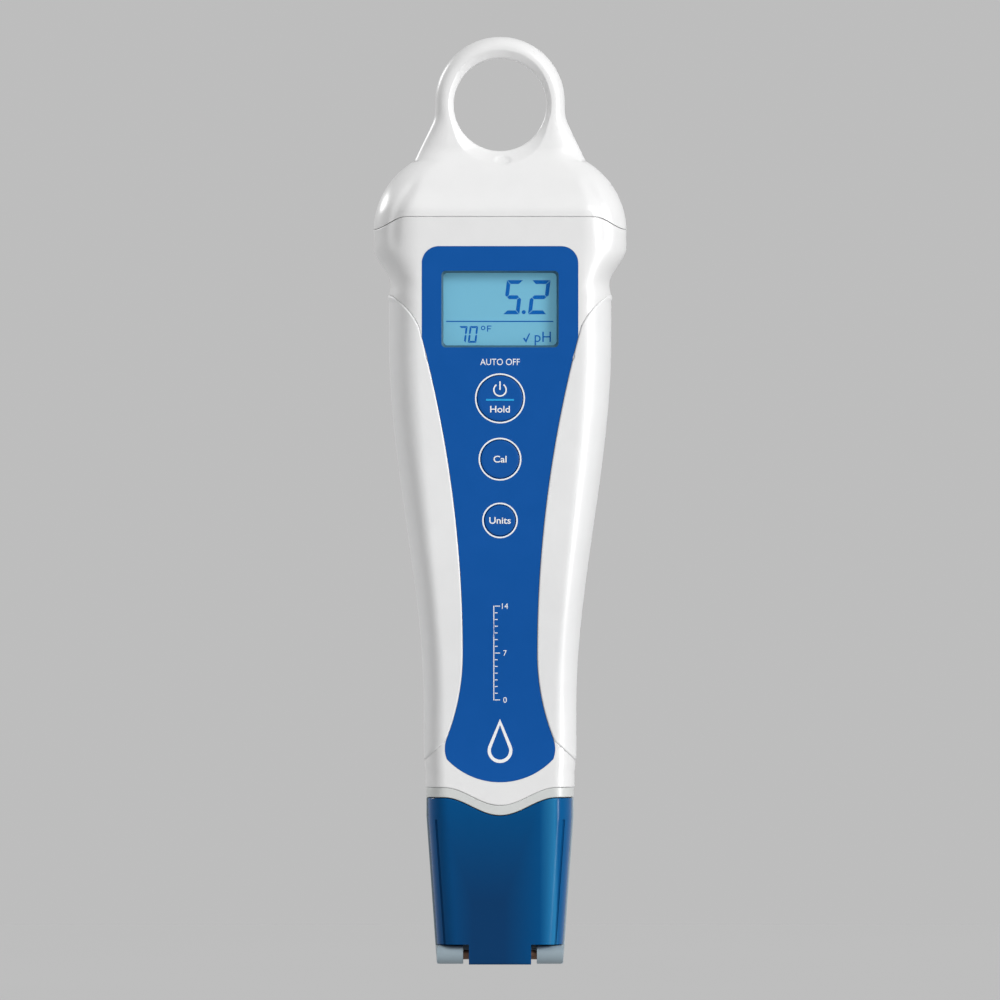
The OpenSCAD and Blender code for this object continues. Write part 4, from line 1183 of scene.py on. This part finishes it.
# ---- CAD nodes that stay, with finer finishes
KEPT = {
    "clear_window": "display_window", "lcd": "lcd_cell", "diffuser": "backlight", "board_green": "main_board",
    "dark_plastic": "lcd_holder board_chips probe_sleeve", "inner_plastic": "battery_tube probe_connector",
    "seal_rubber": "elastomer_strips cap_oring probe_oring", "cell_wrap": "battery_cell",
    "steel": "tactile_switches board_screws battery_spring negative_contact temperature_sensor",
    "contact_brass": "positive_contact battery_lead", "probe_glass": "glass_stem glass_bulb",
    "silver": "silver_wire", "junction_white": "reference_junction", "wire_red": "probe_wires",
    "sponge": "storage_sponge", "pin_bronze": "clip_pin",
}
for finish, nodes in KEPT.items():
    for node in nodes.split():
        dress(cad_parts[node], finish)

# ---- floor, light and camera
FLOOR_R, FLOOR_SIDES = 3.0, 96
FLOOR_Z = -0.058  # clear of the storage cap and the clip at their furthest
floor = new_object("floor", bpy.data.meshes.new("floor"))
rim = [(x, z, 0) for x, z in circle_loop(0, 0, FLOOR_R, FLOOR_SIDES)]
floor.data.from_pydata(rim, [], [tuple(range(FLOOR_SIDES))])
floor.location.z = FLOOR_Z
FLOOR_LOOK = {"grain": 300, "bump": 0.0, "mottle": 0.005, "patch": 3, "Specular_IOR_Level": 0}
material("floor", (0.582, 0.582, 0.582), 0.9, **FLOOR_LOOK)
dress(floor, "floor")

world = bpy.data.worlds.new("studio")
bpy.context.scene.world = world
world.use_nodes = True
background = world.node_tree.nodes["Background"].inputs
background["Color"].default_value = (1.0, 1.0, 1.0, 1)
background["Strength"].default_value = 0.51


def lamp(name, kind, place_at, energy, size):
    """Light that looks at the pen's middle; size is an angle for a sun, else a width and a height."""
    data = bpy.data.lights.new(name, kind)
    data.energy = energy
    if kind == "SUN":
        data.angle = size
    else:
        data.shape, data.size, data.size_y = "RECTANGLE", *size
    obj = new_object(name, data)
    middle = (CAD_BOX[0] + CAD_BOX[1]) / 2
    obj.location = place_at
    obj.rotation_euler = (middle - Vector(place_at)).to_track_quat("-Z", "Y").to_euler()
    return obj


lamp("key", "SUN", (0.68, -0.70, 0.55), 2.12, 0.42)
lamp("rim", "SUN", (-0.60, 0.60, 0.38), 0.8, 0.3)
lamp("side_strip", "AREA", (0.75, -0.25, 0.20), 0.45, (0.12, 0.7)).visible_diffuse = False
lamp("glint", "AREA", (0.60, -0.32, 0.04), 9.0, (0.05, 0.6)).visible_diffuse = False

FRAME_WIDTH = 0.1898  # what the picture's width spans at the pen
FOCUS_SHARE, AIM_SHARE = 0.16, 0.5004  # shares of the front's depth and of the height
camera_data = bpy.data.cameras.new("camera")
camera_data.lens, camera_data.sensor_width = 700, 36
camera = new_object("camera", camera_data)
distance = FRAME_WIDTH / 2 / (camera_data.sensor_width / 2 / camera_data.lens)
camera.location = (0, CAD_BOX[0].y * FOCUS_SHARE - distance, CAD_BOX[1].z * AIM_SHARE)
camera.rotation_euler = (math.radians(90), 0, 0)
camera_data.clip_start, camera_data.clip_end = 0.05, 20
bpy.context.scene.camera = camera
bpy.context.scene.view_settings.view_transform = "Standard"
